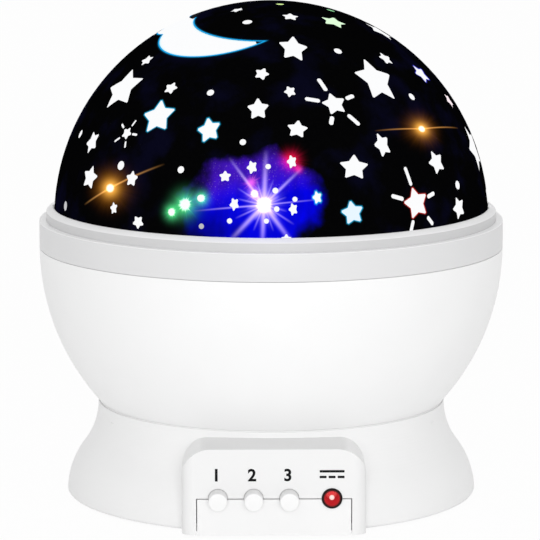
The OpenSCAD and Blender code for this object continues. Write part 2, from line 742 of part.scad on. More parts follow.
module lamp_column() {
  color(WHITE) difference() {
    union() {
      translate([0, 0, column_z]) cylinder(r = column_r, h = holder_z - column_z);
      translate([0, 0, holder_z - 2]) cylinder(r1 = column_r, r2 = column_r + 1.5, h = 2);
    }
    translate([0, 0, column_z - 1]) cylinder(r = column_r - column_wall, h = holder_z - column_z + 2);
    translate([-1.5, -column_r - 1, column_z - 1]) cube([3, column_r + 1, 1 + column_seat_h]);
  }
}

module thrust_washer() {
  color("ivory") ring(washer_r - 8, washer_r, deck_top, washer_t);
}

module column_bush() {
  color("ivory") ring(column_r + running_fit, bush_r, hub_z, bush_h);
}

// Two keys that turn the gear with the hub
module hub_keys(grow) {
  for (side = [-1, 1]) translate([side * spline_r - 1 - grow, -key_w / 2 - grow, gear_z - 1])
    cube([2 + 2 * grow, key_w + 2 * grow, gear_w + 1]);
}

module turntable_hub() {
  color(GREY) difference() {
    union() {
      translate([0, 0, hub_z]) cylinder(r = spline_r, h = gear_top - hub_z + EPS);
      translate([0, 0, gear_top]) cylinder(r = hub_r, h = floor_top + hub_flange_t - gear_top);
      translate([0, 0, floor_top]) cylinder(r = hub_flange_r, h = hub_flange_t);
      hub_keys(0);
    }
    translate([0, 0, hub_z - 1]) cylinder(r = bush_r + 0.02, h = bush_h + 1);
    translate([0, 0, hub_z]) cylinder(r = column_r + 0.5, h = floor_top + hub_flange_t - hub_z + 1);
    around(hub_screw_r, [30, 150, 270]) translate([0, 0, floor_top - 1]) cylinder(r = screw_r + 0.2, h = 5);
    ring(spline_r - 0.5, spline_r + 3, hub_z + 0.25, 0.45);
  }
}

module gear_clip() {
  color(STEEL) difference() {
    ring(spline_r - 0.4, hub_r + 1.2, hub_z + 0.3, 0.35);
    translate([-1.5, 0, hub_z - 1]) cube([3, hub_r + 3, 3]);
  }
}

module ring_gear() {
  color("ivory") difference() {
    translate([0, 0, gear_z]) rotate([0, 0, -90]) linear_extrude(gear_w) polygon(gear_outline(ring_teeth));
    translate([0, 0, gear_z - 1]) cylinder(r = spline_r + 0.05, h = gear_w + 2);
    hub_keys(0.05);
    around((ring_pitch_r + hub_r) / 2, [for (i = [0:5]) 60 * i + 30])
      translate([0, 0, gear_z - 1]) cylinder(r = gear_hole_r, h = gear_w + 2);
  }
}

module hub_screws() {
  color(STEEL) around(hub_screw_r, [30, 150, 270])
    translate([0, 0, floor_top + hub_flange_t]) rotate([180, 0, 0]) screw(hub_flange_t + floor_t - 0.4);
}

// ---------- bowl ----------

module bowl() {
  color(WHITE) {
    difference() {
      intersection() {
        translate([0, 0, rim_z]) sphere(body_r);
        translate([0, 0, bowl_z]) cylinder(r = body_r + 1, h = rim_z - bowl_z);
      }
      intersection() {
        translate([0, 0, rim_z]) sphere(bowl_in_r);
        translate([0, 0, floor_top]) cylinder(r = body_r, h = rim_z - floor_top + 1);
      }
      translate([0, 0, spigot_z - 1]) cylinder(r = bowl_in_r, h = 10);
      translate([0, 0, bowl_z - 1]) cylinder(r = hub_r + 0.05, h = floor_t + 2);
      around(hub_screw_r, [30, 150, 270]) translate([0, 0, bowl_z - 1]) cylinder(r = screw_hole_r, h = floor_t + 2);
    }
    around(post_at, post_angles) difference() {
      union() {
        translate([0, 0, floor_top - EPS]) cylinder(r = post_r, h = reflector_z - floor_top + EPS);
        translate([0, -0.8, floor_top - EPS]) cube([post_r + 3.5, 1.6, 8]);
      }
      translate([0, 0, reflector_z - 10]) cylinder(r = screw_hole_r, h = 11);
    }
  }
}

module reflector_deck() {
  deck_r = bowl_in_r - 0.9;
  color(WHITE) difference() {
    rotate_extrude() polygon([
      [column_r + 0.8, reflector_z], [deck_r, reflector_z], [deck_r, reflector_top],
      [column_r + 8, reflector_top - 0.5], [column_r + 2.6, reflector_top], [column_r + 2.6, reflector_top + 2.4],
      [column_r + 0.8, reflector_top + 2.4]
    ]);
    around(post_at, post_angles) {
      translate([0, 0, reflector_z - 1]) cylinder(r = screw_r + 0.2, h = 6);
      translate([0, 0, reflector_top - 0.9]) cylinder(r = screw_head_r + 0.3, h = 3);
    }
  }
}

module deck_screws() {
  color(STEEL) around(post_at, post_angles)
    translate([0, 0, reflector_top - 0.9]) rotate([180, 0, 0]) screw(deck_screw_l);
}

// ---------- cover ----------

module collar() {
  bore_r = ring_r + free_gap;
  spigot_in = spigot_r - spigot_wall;
  color(GREY) rotate_extrude() polygon([
    [spigot_in, spigot_z], [spigot_r - 0.4, spigot_z], [spigot_r, spigot_z + 0.6], [spigot_r, collar_z],
    [body_r, collar_z], [body_r, collar_top - 0.5], [body_r - 0.5, collar_top], [bore_r, collar_top],
    [bore_r, ledge_z], [spigot_in, ledge_z]
  ]);
}

module dome_ring() {
  inner = dome_r + free_gap;
  color("gainsboro") rotate_extrude() polygon([
    [inner, ledge_z + flange_t], [ring_r, ledge_z + flange_t], [ring_r, ring_top],
    [inner + 0.4, ring_top + ring_slope], [inner, ring_top + ring_slope]
  ]);
}

module diffuser_dome() {
  color("white") {
    difference() {
      union() {
        translate([0, 0, dome_z]) sphere(diffuser_r);
        translate([0, 0, ledge_z]) cylinder(r = diffuser_r, h = dome_z - ledge_z);
      }
      translate([0, 0, dome_z]) sphere(diffuser_in_r);
      translate([0, 0, ledge_z - 1]) cylinder(r = diffuser_in_r, h = dome_z - ledge_z + 1);
      translate([0, 0, ledge_z - 2 * dome_r]) cylinder(r = 2 * dome_r, h = 2 * dome_r);
    }
    ring(diffuser_in_r, ring_r, ledge_z, flange_t);
  }
}

// One rounded ray of a burst, pointing to +X
module ray(from, to, width) {
  translate([from + width / 2, -width / 2]) square([to - from - width, width]);
  for (x = [from + width / 2, to - width / 2]) translate([x, 0]) circle(width / 2);
}

// One set of windows, without those whose elevation is above the highest
module star_windows(highest) {
  for (s = stars) if (s[1] <= highest)
    on_dome(s[0], s[1]) linear_extrude(window_cut) polygon(star_outline(s[2], s[3], s[4]));
  for (d = dots) if (d[1] <= highest) on_dome(d[0], d[1]) cylinder(r = d[2], h = window_cut);
  for (b = bursts) on_dome(b[0], b[1]) {
    linear_extrude(window_cut) polygon(star_outline(b[2], b[3], 1));
    for (t = b[5]) rotate([0, 0, t[0]]) linear_extrude(window_cut) ray(t[1], t[2], b[4]);
  }
}

module moon_window() {
  difference() {
    translate([0, 0, dome_z]) rotate([90 - moon_outer[1], 0, moon_outer[0]])
      translate([0, 0, dome_r / 2]) cylinder(r = dome_r * sin(moon_outer[2]), h = dome_r);
    translate([0, 0, dome_z]) rotate([90 - moon_inner[1], 0, moon_inner[0]])
      cylinder(r = dome_r * sin(moon_inner[2]), h = 2 * dome_r);
  }
}

module star_mask() {
  color(BLACK) difference() {
    union() {
      difference() {
        translate([0, 0, dome_z]) sphere(dome_r);
        translate([0, 0, dome_z]) sphere(dome_r - mask_t);
        translate([0, 0, dome_z - 2 * dome_r]) cylinder(r = 2 * dome_r, h = 2 * dome_r);
      }
      ring(dome_r - mask_t, dome_r, dome_z - mask_skirt, mask_skirt);
    }
    star_windows(90);
    rotate([0, 0, 180]) star_windows(back_highest);
    moon_window();
  }
}

// ---------- lamp ----------

module led_holder() {
  r = led_board_d / 2 + 1.5;
  color(WHITE) difference() {
    translate([0, 0, holder_z]) cylinder(r1 = column_r + 1.5, r2 = r, h = holder_h);
    translate([0, 0, led_board_z]) cylinder(r = led_board_d / 2 + seat_gap, h = holder_h);
    translate([0, 0, holder_z - 1]) cylinder(r = column_r - column_wall, h = holder_h);
  }
}

module led_board() {
  color("white") translate([0, 0, led_board_z]) cylinder(r = led_board_d / 2, h = led_board_t);
}

// Domed light standing on the light board
module light(r, h) {
  top = led_board_z + led_board_t;
  translate([0, 0, top]) cylinder(r = r + 0.4, h = 1);
  translate([0, 0, top + 1 - EPS]) cylinder(r = r, h = h - r - 1 + EPS);
  translate([0, 0, top + h - r]) sphere(r);
}

module lamp_led() {
  color("lightyellow") light(lamp_d / 2, 7);
}

module red_led() {
  color("red") rotate([0, 0, 90]) translate([small_led_at, 0, 0]) light(small_led_r, 4.5);
}

module green_led() {
  color("lime") rotate([0, 0, 210]) translate([small_led_at, 0, 0]) light(small_led_r, 4.5);
}

module blue_led() {
  color("blue") rotate([0, 0, 330]) translate([small_led_at, 0, 0]) light(small_led_r, 4.5);
}

base_shell();
bottom_cover();
panel_insert();
feet();
base_screws();
control_board();
tact_switches();
controller_chip();
dc_socket();
socket_pin();
socket_light();
button_1();
button_2();
button_3();
plunger_1();
plunger_2();
plunger_3();
battery_cells();
cell_springs();
cell_plates();
battery_door();
gear_motor();
motor_screws();
motor_shaft();
drive_pinion();
lamp_column();
led_holder();
led_board();
lamp_led();
red_led();
green_led();
blue_led();
thrust_washer();
column_bush();
turntable_hub();
hub_screws();
ring_gear();
gear_clip();
bowl();
reflector_deck();
deck_screws();
collar();
dome_ring();
diffuser_dome();
star_mask();
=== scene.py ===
"""Looks of the star night light projector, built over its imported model.

Lengths are in metres, +Z is up, the floor is z = 0, the bowl turns about x = y = 0 and the control
panel faces -Y. A place on the dome is an azimuth from -Y towards +X and an elevation above the
dome's centre, in degrees.
"""

import logging
import math
from abc import ABC, abstractmethod
from collections.abc import Iterable, Mapping, Sequence
from dataclasses import dataclass
from enum import Enum
from functools import cached_property
from types import MappingProxyType
from typing import Any

import bmesh
import bpy
from mathutils import Matrix, Vector


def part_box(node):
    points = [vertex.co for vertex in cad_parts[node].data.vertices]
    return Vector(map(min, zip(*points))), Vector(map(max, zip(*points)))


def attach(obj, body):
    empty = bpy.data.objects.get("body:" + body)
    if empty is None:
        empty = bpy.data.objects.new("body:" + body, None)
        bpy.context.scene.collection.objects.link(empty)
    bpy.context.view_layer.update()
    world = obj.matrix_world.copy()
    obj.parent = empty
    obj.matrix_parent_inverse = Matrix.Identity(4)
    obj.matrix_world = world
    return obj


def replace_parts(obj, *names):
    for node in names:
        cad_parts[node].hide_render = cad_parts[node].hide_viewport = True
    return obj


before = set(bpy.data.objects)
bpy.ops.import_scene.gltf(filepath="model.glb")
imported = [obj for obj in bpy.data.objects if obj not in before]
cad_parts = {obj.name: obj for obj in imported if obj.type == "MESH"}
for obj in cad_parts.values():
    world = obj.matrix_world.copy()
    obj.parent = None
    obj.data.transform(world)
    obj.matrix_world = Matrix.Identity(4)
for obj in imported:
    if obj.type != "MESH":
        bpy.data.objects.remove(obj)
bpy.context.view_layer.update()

MM = 0.001
SAME = 0.01 * MM  # corners closer than this count as one
WELD = 0.001 * MM  # corners of a spun solid closer than this are joined
LEVEL = math.radians(0.5)  # carved faces that turn less than this from each other are joined
ROUND_STEPS = 192  # faces around a large round piece
RIGHT, BACK, UP = Vector((1.0, 0.0, 0.0)), Vector((0.0, 1.0, 0.0)), Vector((0.0, 0.0, 1.0))

Rgb = tuple[float, float, float]
Point = tuple[float, float]
WHITE: Rgb = (1.0, 1.0, 1.0)

log = logging.getLogger("night_light")


def grey(level: float) -> Rgb:
    """A neutral colour."""
    return (level, level, level)


# ---------- shader expressions ----------


@dataclass(frozen=True)
class Signal:
    """An output socket, whose arithmetic adds Math nodes to its graph."""

    graph: "Graph"
    socket: bpy.types.NodeSocket | None

    def _math(self, operation: str, *values: "Signal | float") -> "Signal":
        """Adds one Math node that takes these values."""
        return self.graph.node("ShaderNodeMath", {"operation": operation}, dict(enumerate(values)))

    def __add__(self, other: "Signal | float") -> "Signal":
        """self + other."""
        return self._math("ADD", self, other)

    def __sub__(self, other: "Signal | float") -> "Signal":
        """self - other."""
        return self._math("SUBTRACT", self, other)

    def __rsub__(self, other: float) -> "Signal":
        """other - self."""
        return self._math("SUBTRACT", other, self)

    def __mul__(self, other: "Signal | float") -> "Signal":
        """self * other."""
        return self._math("MULTIPLY", self, other)

    def __truediv__(self, other: "Signal | float") -> "Signal":
        """self / other."""
        return self._math("DIVIDE", self, other)

    def __rtruediv__(self, other: float) -> "Signal":
        """other / self."""
        return self._math("DIVIDE", other, self)

    def __mod__(self, other: float) -> "Signal":
        """self wrapped into the range from 0 to other."""
        return self._math("FLOORED_MODULO", self, other)

    def __gt__(self, other: "Signal | float") -> "Signal":
        """1 where self is greater, and 0 elsewhere."""
        return self._math("GREATER_THAN", self, other)

    def __lt__(self, other: "Signal | float") -> "Signal":
        """1 where self is less, and 0 elsewhere."""
        return self._math("LESS_THAN", self, other)

    def __abs__(self) -> "Signal":
        """Size of self without its sign."""
        return self._math("ABSOLUTE", self)

    __radd__ = __add__
    __rmul__ = __mul__

    def root(self) -> "Signal":
        """Square root."""
        return self._math("SQRT", self)

    def sine(self) -> "Signal":
        """Sine of an angle in radians."""
        return self._math("SINE", self)

    def cosine(self) -> "Signal":
        """Cosine of an angle in radians."""
        return self._math("COSINE", self)

    def arc_cosine(self) -> "Signal":
        """Angle in radians whose cosine it is."""
        return self._math("ARCCOSINE", self)

    def angle_to(self, other: "Signal") -> "Signal":
        """Angle of the direction (self, other) from the second axis, in radians."""
        return self._math("ARCTAN2", self, other)

    def hypot(self, other: "Signal") -> "Signal":
        """Length of a step whose two square parts are self and other."""
        return (self * self + other * other).root()

    def at_least(self, other: "Signal | float") -> "Signal":
        """The larger of the two."""
        return self._math("MAXIMUM", self, other)

    def at_most(self, other: "Signal | float") -> "Signal":
        """The smaller of the two."""
        return self._math("MINIMUM", self, other)

    def bell(self, spread: float) -> "Signal":
        """1 at zero, falling to 0 on both sides as a bell curve of that spread."""
        share = self * (1.0 / spread)
        return self._math("EXPONENT", share * share * -1.0)

    def ramp(self, start: float, end: float) -> "Signal":
        """Smooth step from 0 to 1.

        Args:
            start: The value where it is 0.
            end: The value where it is 1, which may be the smaller.

        Returns:
            The step.
        """
        low, high = min(start, end), max(start, end)
        step = self.graph.node(
            "ShaderNodeMapRange",
            {"interpolation_type": "SMOOTHSTEP"},
            {"Value": self, "From Min": low, "From Max": high},
        )
        return step if end >= start else 1.0 - step

    def output(self, name: str | int) -> "Signal":
        """Another output of the same node."""
        return Signal(self.graph, self.socket.node.outputs[name])


class Graph:
    """The node tree of a material or a world."""

    def __init__(self, owner: bpy.types.Material | bpy.types.World) -> None:
        """Empties the owner's node tree.

        Args:
            owner: The material or world that the nodes are for.
        """
        self.owner = owner
        owner.use_nodes = True
        self.tree = owner.node_tree
        self.tree.nodes.clear()

    @classmethod
    def of(cls, name: str) -> "Graph":
        """The graph of a new material of that name."""
        return cls(bpy.data.materials.new(name))

    def node(
        self,
        kind: str,
        settings: Mapping[str, Any] = MappingProxyType({}),
        inputs: Mapping[str | int, Any] = MappingProxyType({}),
    ) -> Signal:
        """Adds one node.

        Args:
            kind: The node's type name.
            settings: Its properties, set before its sockets.
            inputs: A number, a tuple or a Signal for each socket, by name or index.

        Returns:
            The node's first output, or an empty Signal where it has none.
        """
        made = self.tree.nodes.new(kind)
        for name, value in settings.items():
            setattr(made, name, value)
        for key, value in inputs.items():
            if isinstance(value, Signal):
                self.tree.links.new(value.socket, made.inputs[key])
            elif isinstance(value, tuple) and made.inputs[key].type == "RGBA":
                made.inputs[key].default_value = (*value, 1.0)
            else:
                made.inputs[key].default_value = value
        return Signal(self, made.outputs[0] if made.outputs else None)

    def place(self) -> Signal:
        """Object coordinates."""
        return self.node("ShaderNodeTexCoord").output("Object")

    def axes(self, vector: Signal) -> tuple[Signal, Signal, Signal]:
        """The X, Y and Z of a vector."""
        split = self.node("ShaderNodeSeparateXYZ", inputs={"Vector": vector})
        return split, split.output("Y"), split.output("Z")

    def upward(self) -> Signal:
        """How far the surface faces up: 1 where it is level, 0 where it is upright."""
        return self.dot(self.node("ShaderNodeNewGeometry").output("Normal"), UP)

    def vector(self, operation: str, *values: Signal | Rgb) -> Signal:
        """Adds one Vector Math node that takes these values."""
        return self.node("ShaderNodeVectorMath", {"operation": operation}, dict(enumerate(values)))

    def stretched(self, vector: Signal, scale: Rgb) -> Signal:
        """A vector scaled by its own factor on each axis."""
        return self.vector("MULTIPLY", vector, scale)

    def dot(self, vector: Signal, axis: Vector) -> Signal:
        """Length of a vector along a fixed axis."""
        return self.vector("DOT_PRODUCT", vector, tuple(axis)).output("Value")

    def noise(self, vector: Signal, size: float, detail: float = 2.0) -> Signal:
        """Cloudy noise from 0 to 1 whose lumps are about that size."""
        inputs = {"Vector": vector, "Scale": 1.0 / size, "Detail": detail}
        return self.node("ShaderNodeTexNoise", inputs=inputs)

    def mix(self, factor: Signal, first: Signal | Rgb, second: Signal | Rgb) -> Signal:
        """Colour between first, at factor 0, and second, at factor 1."""
        made = self.node("ShaderNodeMix", {"data_type": "RGBA"}, {0: factor, 6: first, 7: second})
        return made.output(2)

    def glow(self, amount: Signal, color: Signal | Rgb) -> Signal:
        """A colour scaled by an amount."""
        return self.node("ShaderNodeVectorMath", {"operation": "SCALE"}, {0: color, "Scale": amount})

    def total(self, colors: Sequence[Signal]) -> Signal:
        """Sum of several colours.

        Args:
            colors: The colours, one or more.

        Returns:
            Their sum.
        """
        whole = colors[0]
        for color in colors[1:]:
            whole = self.vector("ADD", whole, color)
        return whole

    def bump(self, height: Signal, depth: float) -> Signal:
        """Normal of a surface with a height from 0 to 1 times depth."""
        return self.node("ShaderNodeBump", inputs={"Height": height, "Distance": depth, "Strength": 1.0})

    def finish(self, shader: Signal) -> bpy.types.Material | bpy.types.World:
        """Links a shader to the owner's surface.

        Args:
            shader: The shader.

        Returns:
            The owner.
        """
        kind = "World" if isinstance(self.owner, bpy.types.World) else "Material"
        self.node(f"ShaderNodeOutput{kind}", inputs={"Surface": shader})
        return self.owner

    def shown(self) -> Signal:
        """1 where the camera sees a surface straight, mirrored or through glass, and 0 for its light."""
        path = self.node("ShaderNodeLightPath")
        return path.at_least(path.output("Is Glossy Ray")).at_least(path.output("Is Transmission Ray"))


# ---------- finishes ----------


@dataclass(frozen=True)
class Finish(ABC):
    """Look of a surface, as the sockets of one shader."""

    name: str

    def build(self) -> bpy.types.Material:
        """Makes the material.

        Returns:
            The material, named as the finish is.
        """
        g = Graph.of(self.name)
        named = {name.replace("_", " "): value for name, value in self.sockets(g, g.place()).items()}
        return g.finish(g.node("ShaderNodeBsdfPrincipled", inputs=named))

    @abstractmethod
    def sockets(self, g: Graph, place: Signal) -> dict[str, Any]:
        """Works out the sockets.

        Args:
            g: The material's graph.
            place: Object coordinates.

        Returns:
            The sockets, by name with _ for each space, each a value or a Signal.
        """


@dataclass(frozen=True)
class MouldedPlastic(Finish):
    """Satin moulded plastic with a fine spark-eroded grain and slow waves left by cooling. Its level share
    paints faces that face up: lighter as a painted highlight when above zero, darker as painted shade when
    below zero.
    """

    color: Rgb
    roughness: float = 0.42
    grain: float = 0.35 * MM
    grain_depth: float = 0.0035 * MM
    wave: float = 14 * MM
    wave_depth: float = 0.02 * MM
    drift: float = 0.025
    # painted light on faces that face up: above zero a painted highlight, below zero painted shade
    painted_level_shading: float = 0.0
    level_from: float = 0.2
    level_full: float = 0.6

    def sockets(self, g: Graph, place: Signal) -> dict[str, Any]:
        """Sockets of the plastic.

        Args:
            g: The material's graph.
            place: Object coordinates.

        Returns:
            The sockets, by name.
        """
        grain = g.noise(place, self.grain, 3)
        wave = g.noise(place, self.wave, 1)
        tone = 1.0 - self.drift * wave
        # Painted light: the level share makes faces that face up lighter, a painted highlight, when above
        # zero, and darker, painted shade, when below zero.
        if self.painted_level_shading:
            tone = tone * (1.0 + self.painted_level_shading * g.upward().ramp(self.level_from, self.level_full))
        height = grain + wave * (self.wave_depth / self.grain_depth)
        return dict(
            Base_Color=g.glow(tone, self.color),
            Roughness=self.roughness + 0.12 * (grain - 0.5) + 0.1 * (wave - 0.5),
            Normal=g.bump(height, self.grain_depth),
            Specular_IOR_Level=0.4,
        )


@dataclass(frozen=True)
class TurnedSteel(Finish):
    """Plated steel with fine marks drawn along one axis."""

    color: Rgb = (0.66, 0.66, 0.68)
    roughness: float = 0.28
    along: Rgb = (1.0, 1.0, 12.0)

    def sockets(self, g: Graph, place: Signal) -> dict[str, Any]:
        """Sockets of the steel.

        Args:
            g: The material's graph.
            place: Object coordinates.

        Returns:
            The sockets, by name.
        """
        marks = g.noise(g.stretched(place, self.along), 0.6 * MM, 4)
        stain = g.noise(place, 5 * MM, 3)
        return dict(
            Base_Color=g.glow(0.9 + 0.2 * stain, self.color),
            Metallic=1.0,
            Roughness=self.roughness + 0.22 * (marks - 0.5) + 0.12 * stain,
            Normal=g.bump(marks, 0.004 * MM),
        )


@dataclass(frozen=True)
class SoftRubber(Finish):
    """Matt rubber with a pebbled skin and dust in its hollows."""

    color: Rgb = (0.16, 0.16, 0.165)

    def sockets(self, g: Graph, place: Signal) -> dict[str, Any]:
        """Sockets of the rubber.

        Args:
            g: The material's graph.
            place: Object coordinates.

        Returns:
            The sockets, by name.
        """
        pebble = g.noise(place, 0.25 * MM, 2)
        dust = g.noise(place, 2.5 * MM, 4).ramp(0.5, 0.8)
        return dict(
            Base_Color=g.mix(dust * 0.35, self.color, (0.42, 0.41, 0.4)),
            Roughness=0.78 + 0.15 * dust,
            Normal=g.bump(pebble, 0.02 * MM),
        )


@dataclass(frozen=True)
class PrintedBoard(Finish):
    """Green board with copper tracks under its lacquer and tinned pads in rows."""

    pitch: float = 2.54 * MM

    def sockets(self, g: Graph, place: Signal) -> dict[str, Any]:
        """Sockets of the board.

        Args:
            g: The material's graph.
            place: Object coordinates.

        Returns:
            The sockets, by name.
        """
        x, _, z = g.axes(place)
        wander = g.noise(place, 6 * MM, 1) * (2 * MM)
        track = abs(((x + wander) % self.pitch) - self.pitch / 2).ramp(0.35 * MM, 0.25 * MM)
        across = (x % self.pitch) - self.pitch / 2
        up = (z % self.pitch) - self.pitch / 2
        in_row = (z % (3 * self.pitch)) < self.pitch
        pad = across.hypot(up).ramp(0.55 * MM, 0.45 * MM) * in_row
        lacquer = g.mix(track * 0.6, (0.012, 0.16, 0.07), (0.05, 0.3, 0.12))
        return dict(
            Base_Color=g.mix(pad, lacquer, (0.75, 0.74, 0.7)),
            Metallic=pad,
            Roughness=0.35 - 0.1 * pad,
            Normal=g.bump(track.at_least(pad), 0.03 * MM),
            Coat_Weight=0.3,
        )


@dataclass(frozen=True)
class MouldedBlack(Finish):
    """Black moulded plastic of switches, chips and plugs, with a faint flow pattern."""

    roughness: float = 0.5

    def sockets(self, g: Graph, place: Signal) -> dict[str, Any]:
        """Sockets of the black plastic.

        Args:
            g: The material's graph.
            place: Object coordinates.

        Returns:
            The sockets, by name.
        """
        grain = g.noise(place, 0.2 * MM, 3)
        flow = g.noise(g.stretched(place, (1.0, 1.0, 3.0)), 3 * MM, 2)
        return dict(
            Base_Color=g.mix(flow, (0.012, 0.012, 0.013), (0.028, 0.028, 0.03)),
            Roughness=self.roughness + 0.2 * (grain - 0.5),
            Normal=g.bump(grain, 0.006 * MM),
        )


@dataclass(frozen=True)
class CellWrap(Finish):
    """Plain printed sleeve of a dry cell: a dark body, a copper band at one end and bare steel caps."""

    first_y: float
    pitch: float
    half: float
    band: float = 11 * MM
    cap: float = 1.2 * MM

    def sockets(self, g: Graph, place: Signal) -> dict[str, Any]:
        """Sockets of the sleeve. Every other cell lies the other way round.

        Args:
            g: The material's graph.
            place: Object coordinates.

        Returns:
            The sockets, by name.
        """
        x, y, _ = g.axes(place)
        odd = ((y - (self.first_y - self.pitch / 2)) % (2 * self.pitch)) > self.pitch
        along = x * (1.0 - 2.0 * odd)
        copper = along > (self.half - self.band)
        steel = abs(along) > (self.half - self.cap)
        crease = g.noise(g.stretched(place, (0.4, 1.0, 1.0)), 1.2 * MM, 4)
        sleeve = g.mix(copper, (0.03, 0.032, 0.036), (0.62, 0.33, 0.14))
        return dict(
            Base_Color=g.mix(steel, sleeve, (0.7, 0.7, 0.71)),
            Metallic=(copper * 0.7).at_least(steel),
            Roughness=0.3 + 0.2 * crease,
            Normal=g.bump(crease, 0.02 * MM),
        )


@dataclass(frozen=True)
class ClearLens(Finish):
    """Tinted epoxy lens of a small light, brighter towards its chip."""

    color: Rgb
    chip_z: float
    reach: float = 6 * MM

    def sockets(self, g: Graph, place: Signal) -> dict[str, Any]:
        """Sockets of the lens.

        Args:
            g: The material's graph.
            place: Object coordinates.

        Returns:
            The sockets, by name.
        """
        _, _, z = g.axes(place)
        near = z.ramp(self.chip_z + self.reach, self.chip_z)
        swirl = g.noise(place, 1.5 * MM, 2)
        return dict(
            Base_Color=g.glow(0.7 + 0.3 * swirl, self.color),
            Roughness=0.08 + 0.08 * swirl,
            Emission_Color=g.glow(0.35 + 0.5 * near, self.color),
            Emission_Strength=0.8,
            Normal=g.bump(swirl, 0.01 * MM),
            Coat_Weight=0.5,
        )


@dataclass(frozen=True)
class PrintInk(Finish):
    """Screen-printed ink, slightly raised, with a mottled skin."""

    color: Rgb = (0.006, 0.006, 0.007)

    def sockets(self, g: Graph, place: Signal) -> dict[str, Any]:
        """Sockets of the ink.

        Args:
            g: The material's graph.
            place: Object coordinates.

        Returns:
            The sockets, by name.
        """
        mottle = g.noise(place, 0.3 * MM, 3)
        return dict(
            Base_Color=g.mix(mottle, self.color, (0.009, 0.009, 0.01)),
            Roughness=0.6 + 0.2 * mottle,
            Specular_IOR_Level=0.08,
            Normal=g.bump(mottle, 0.01 * MM),
        )


@dataclass(frozen=True)
class SocketPlastic(Finish):
    """Black lip of the power socket, with painted red light where it meets the lit bore."""

    axis_x: float
    axis_z: float
    bore: float = 1.9 * MM
    painted_glow_reach: float = 0.45 * MM

    def sockets(self, g: Graph, place: Signal) -> dict[str, Any]:
        """Sockets of the lip.

        Args:
            g: The material's graph.
            place: Object coordinates.

        Returns:
            The sockets, by name.
        """
        x, _, z = g.axes(place)
        across, up = x - self.axis_x, z - self.axis_z
        # Painted light: red glow from the bore painted on the black lip, fading out over a set distance from
        # the bore.
        lit = across.hypot(up).ramp(self.bore + self.painted_glow_reach, self.bore)
        grain = g.noise(place, 0.2 * MM, 3)
        return dict(
            Base_Color=g.mix(grain, (0.004, 0.002, 0.002), (0.012, 0.006, 0.006)),
            Roughness=0.3 + 0.1 * grain,
            Specular_IOR_Level=0.12,
            Emission_Color=g.glow(lit * lit, (0.3, 0.008, 0.008)),
            Emission_Strength=1.0,
            Normal=g.bump(grain, 0.003 * MM),
        )


@dataclass(frozen=True)
class LitRed(Finish):
    """Clear red plastic lit from behind, deep red at its rim, with a painted near-white highlight just above
    its middle.
    """

    axis_x: float
    axis_z: float
    painted_highlight_reach: float = 0.75 * MM
    rim: float = 1.75 * MM
    painted_highlight: Rgb = (0.88, 0.3, 0.24)
    tip_y: float | None = None

    def sockets(self, g: Graph, place: Signal) -> dict[str, Any]:
        """Sockets of the lit plastic.

        Args:
            g: The material's graph.
            place: Object coordinates.

        Returns:
            The sockets, by name.
        """
        x, y, z = g.axes(place)
        # Painted highlight: a near-white spot just above the middle, kept to the tip where a tip is given.
        across, up, above = x - self.axis_x, z - self.axis_z, z - (self.axis_z + 0.08 * MM)
        painted_highlight = across.hypot(above).bell(self.painted_highlight_reach)
        if self.tip_y is not None:
            painted_highlight = painted_highlight * (y - self.tip_y).ramp(0.5 * MM, 0.05 * MM)
        deep = across.hypot(up).ramp(self.rim * 0.45, self.rim * 1.1)
        haze = g.noise(place, 0.8 * MM, 2)
        red = g.mix(deep, (0.62, 0.045, 0.05), (0.3, 0.008, 0.012))
        return dict(
            Base_Color=(0.2, 0.01, 0.01),
            Roughness=0.25 + 0.1 * haze,
            Specular_IOR_Level=0.1,
            Emission_Color=g.mix(painted_highlight, red, self.painted_highlight),
            Emission_Strength=1.0,
            Normal=g.bump(haze, 0.01 * MM),
        )


# ---------- painted glows on the dome ---


class DomeView:
    """Directions from the dome's centre, in the graph of one finish."""

    def __init__(self, g: Graph, place: Signal, center: Vector) -> None:
        """Takes the finish's graph, its Object coordinates and the dome's centre."""
        self.g = g
        self.unit = g.vector("NORMALIZE", g.vector("SUBTRACT", place, tuple(center)))

    @cached_property
    def front(self) -> Signal:
        """1 on the half of the dome that faces -Y."""
        return self.along(-BACK) > 0.0

    def along(self, axis: Vector) -> Signal:
        """Share of the direction that lies along an axis."""
        return self.g.dot(self.unit, axis)


@dataclass(frozen=True)
class Spot:
    """A place on the dome."""

    azimuth: float
    elevation: float

    def outward(self) -> Vector:
        """Unit vector from the dome's centre to the place."""
        az, el = math.radians(self.azimuth), math.radians(self.elevation)
        return Vector((math.sin(az) * math.cos(el), -math.cos(az) * math.cos(el), math.sin(el)))

    def offsets(self, view: DomeView) -> tuple[Signal, Signal]:
        """How far each place lies from this one, in radians near it.

        Args:
            view: The dome's directions.

        Returns:
            The distances to its right and above it.
        """
        az = math.radians(self.azimuth)
        right = Vector((math.cos(az), math.sin(az), 0.0))
        return view.along(right), view.along(self.outward().cross(right))


@dataclass(frozen=True)
class Ray:
    """A straight streak of light: its direction, length and half width in degrees, and brightness."""

    direction: float
    length: float
    width: float
    gain: float

    def paint(self, u: Signal, v: Signal) -> Signal:
        """Adds the streak.

        Args:
            u: Distance to the right of its start.
            v: Distance above its start.

        Returns:
            Its brightness.
        """
        angle = math.radians(self.direction)
        along = u * math.cos(angle) + v * math.sin(angle)
        across = v * math.cos(angle) - u * math.sin(angle)
        fade = (1.0 - along / math.radians(self.length)).at_least(0.0) * (along > 0.0)
        return across.bell(math.radians(self.width)) * fade * self.gain


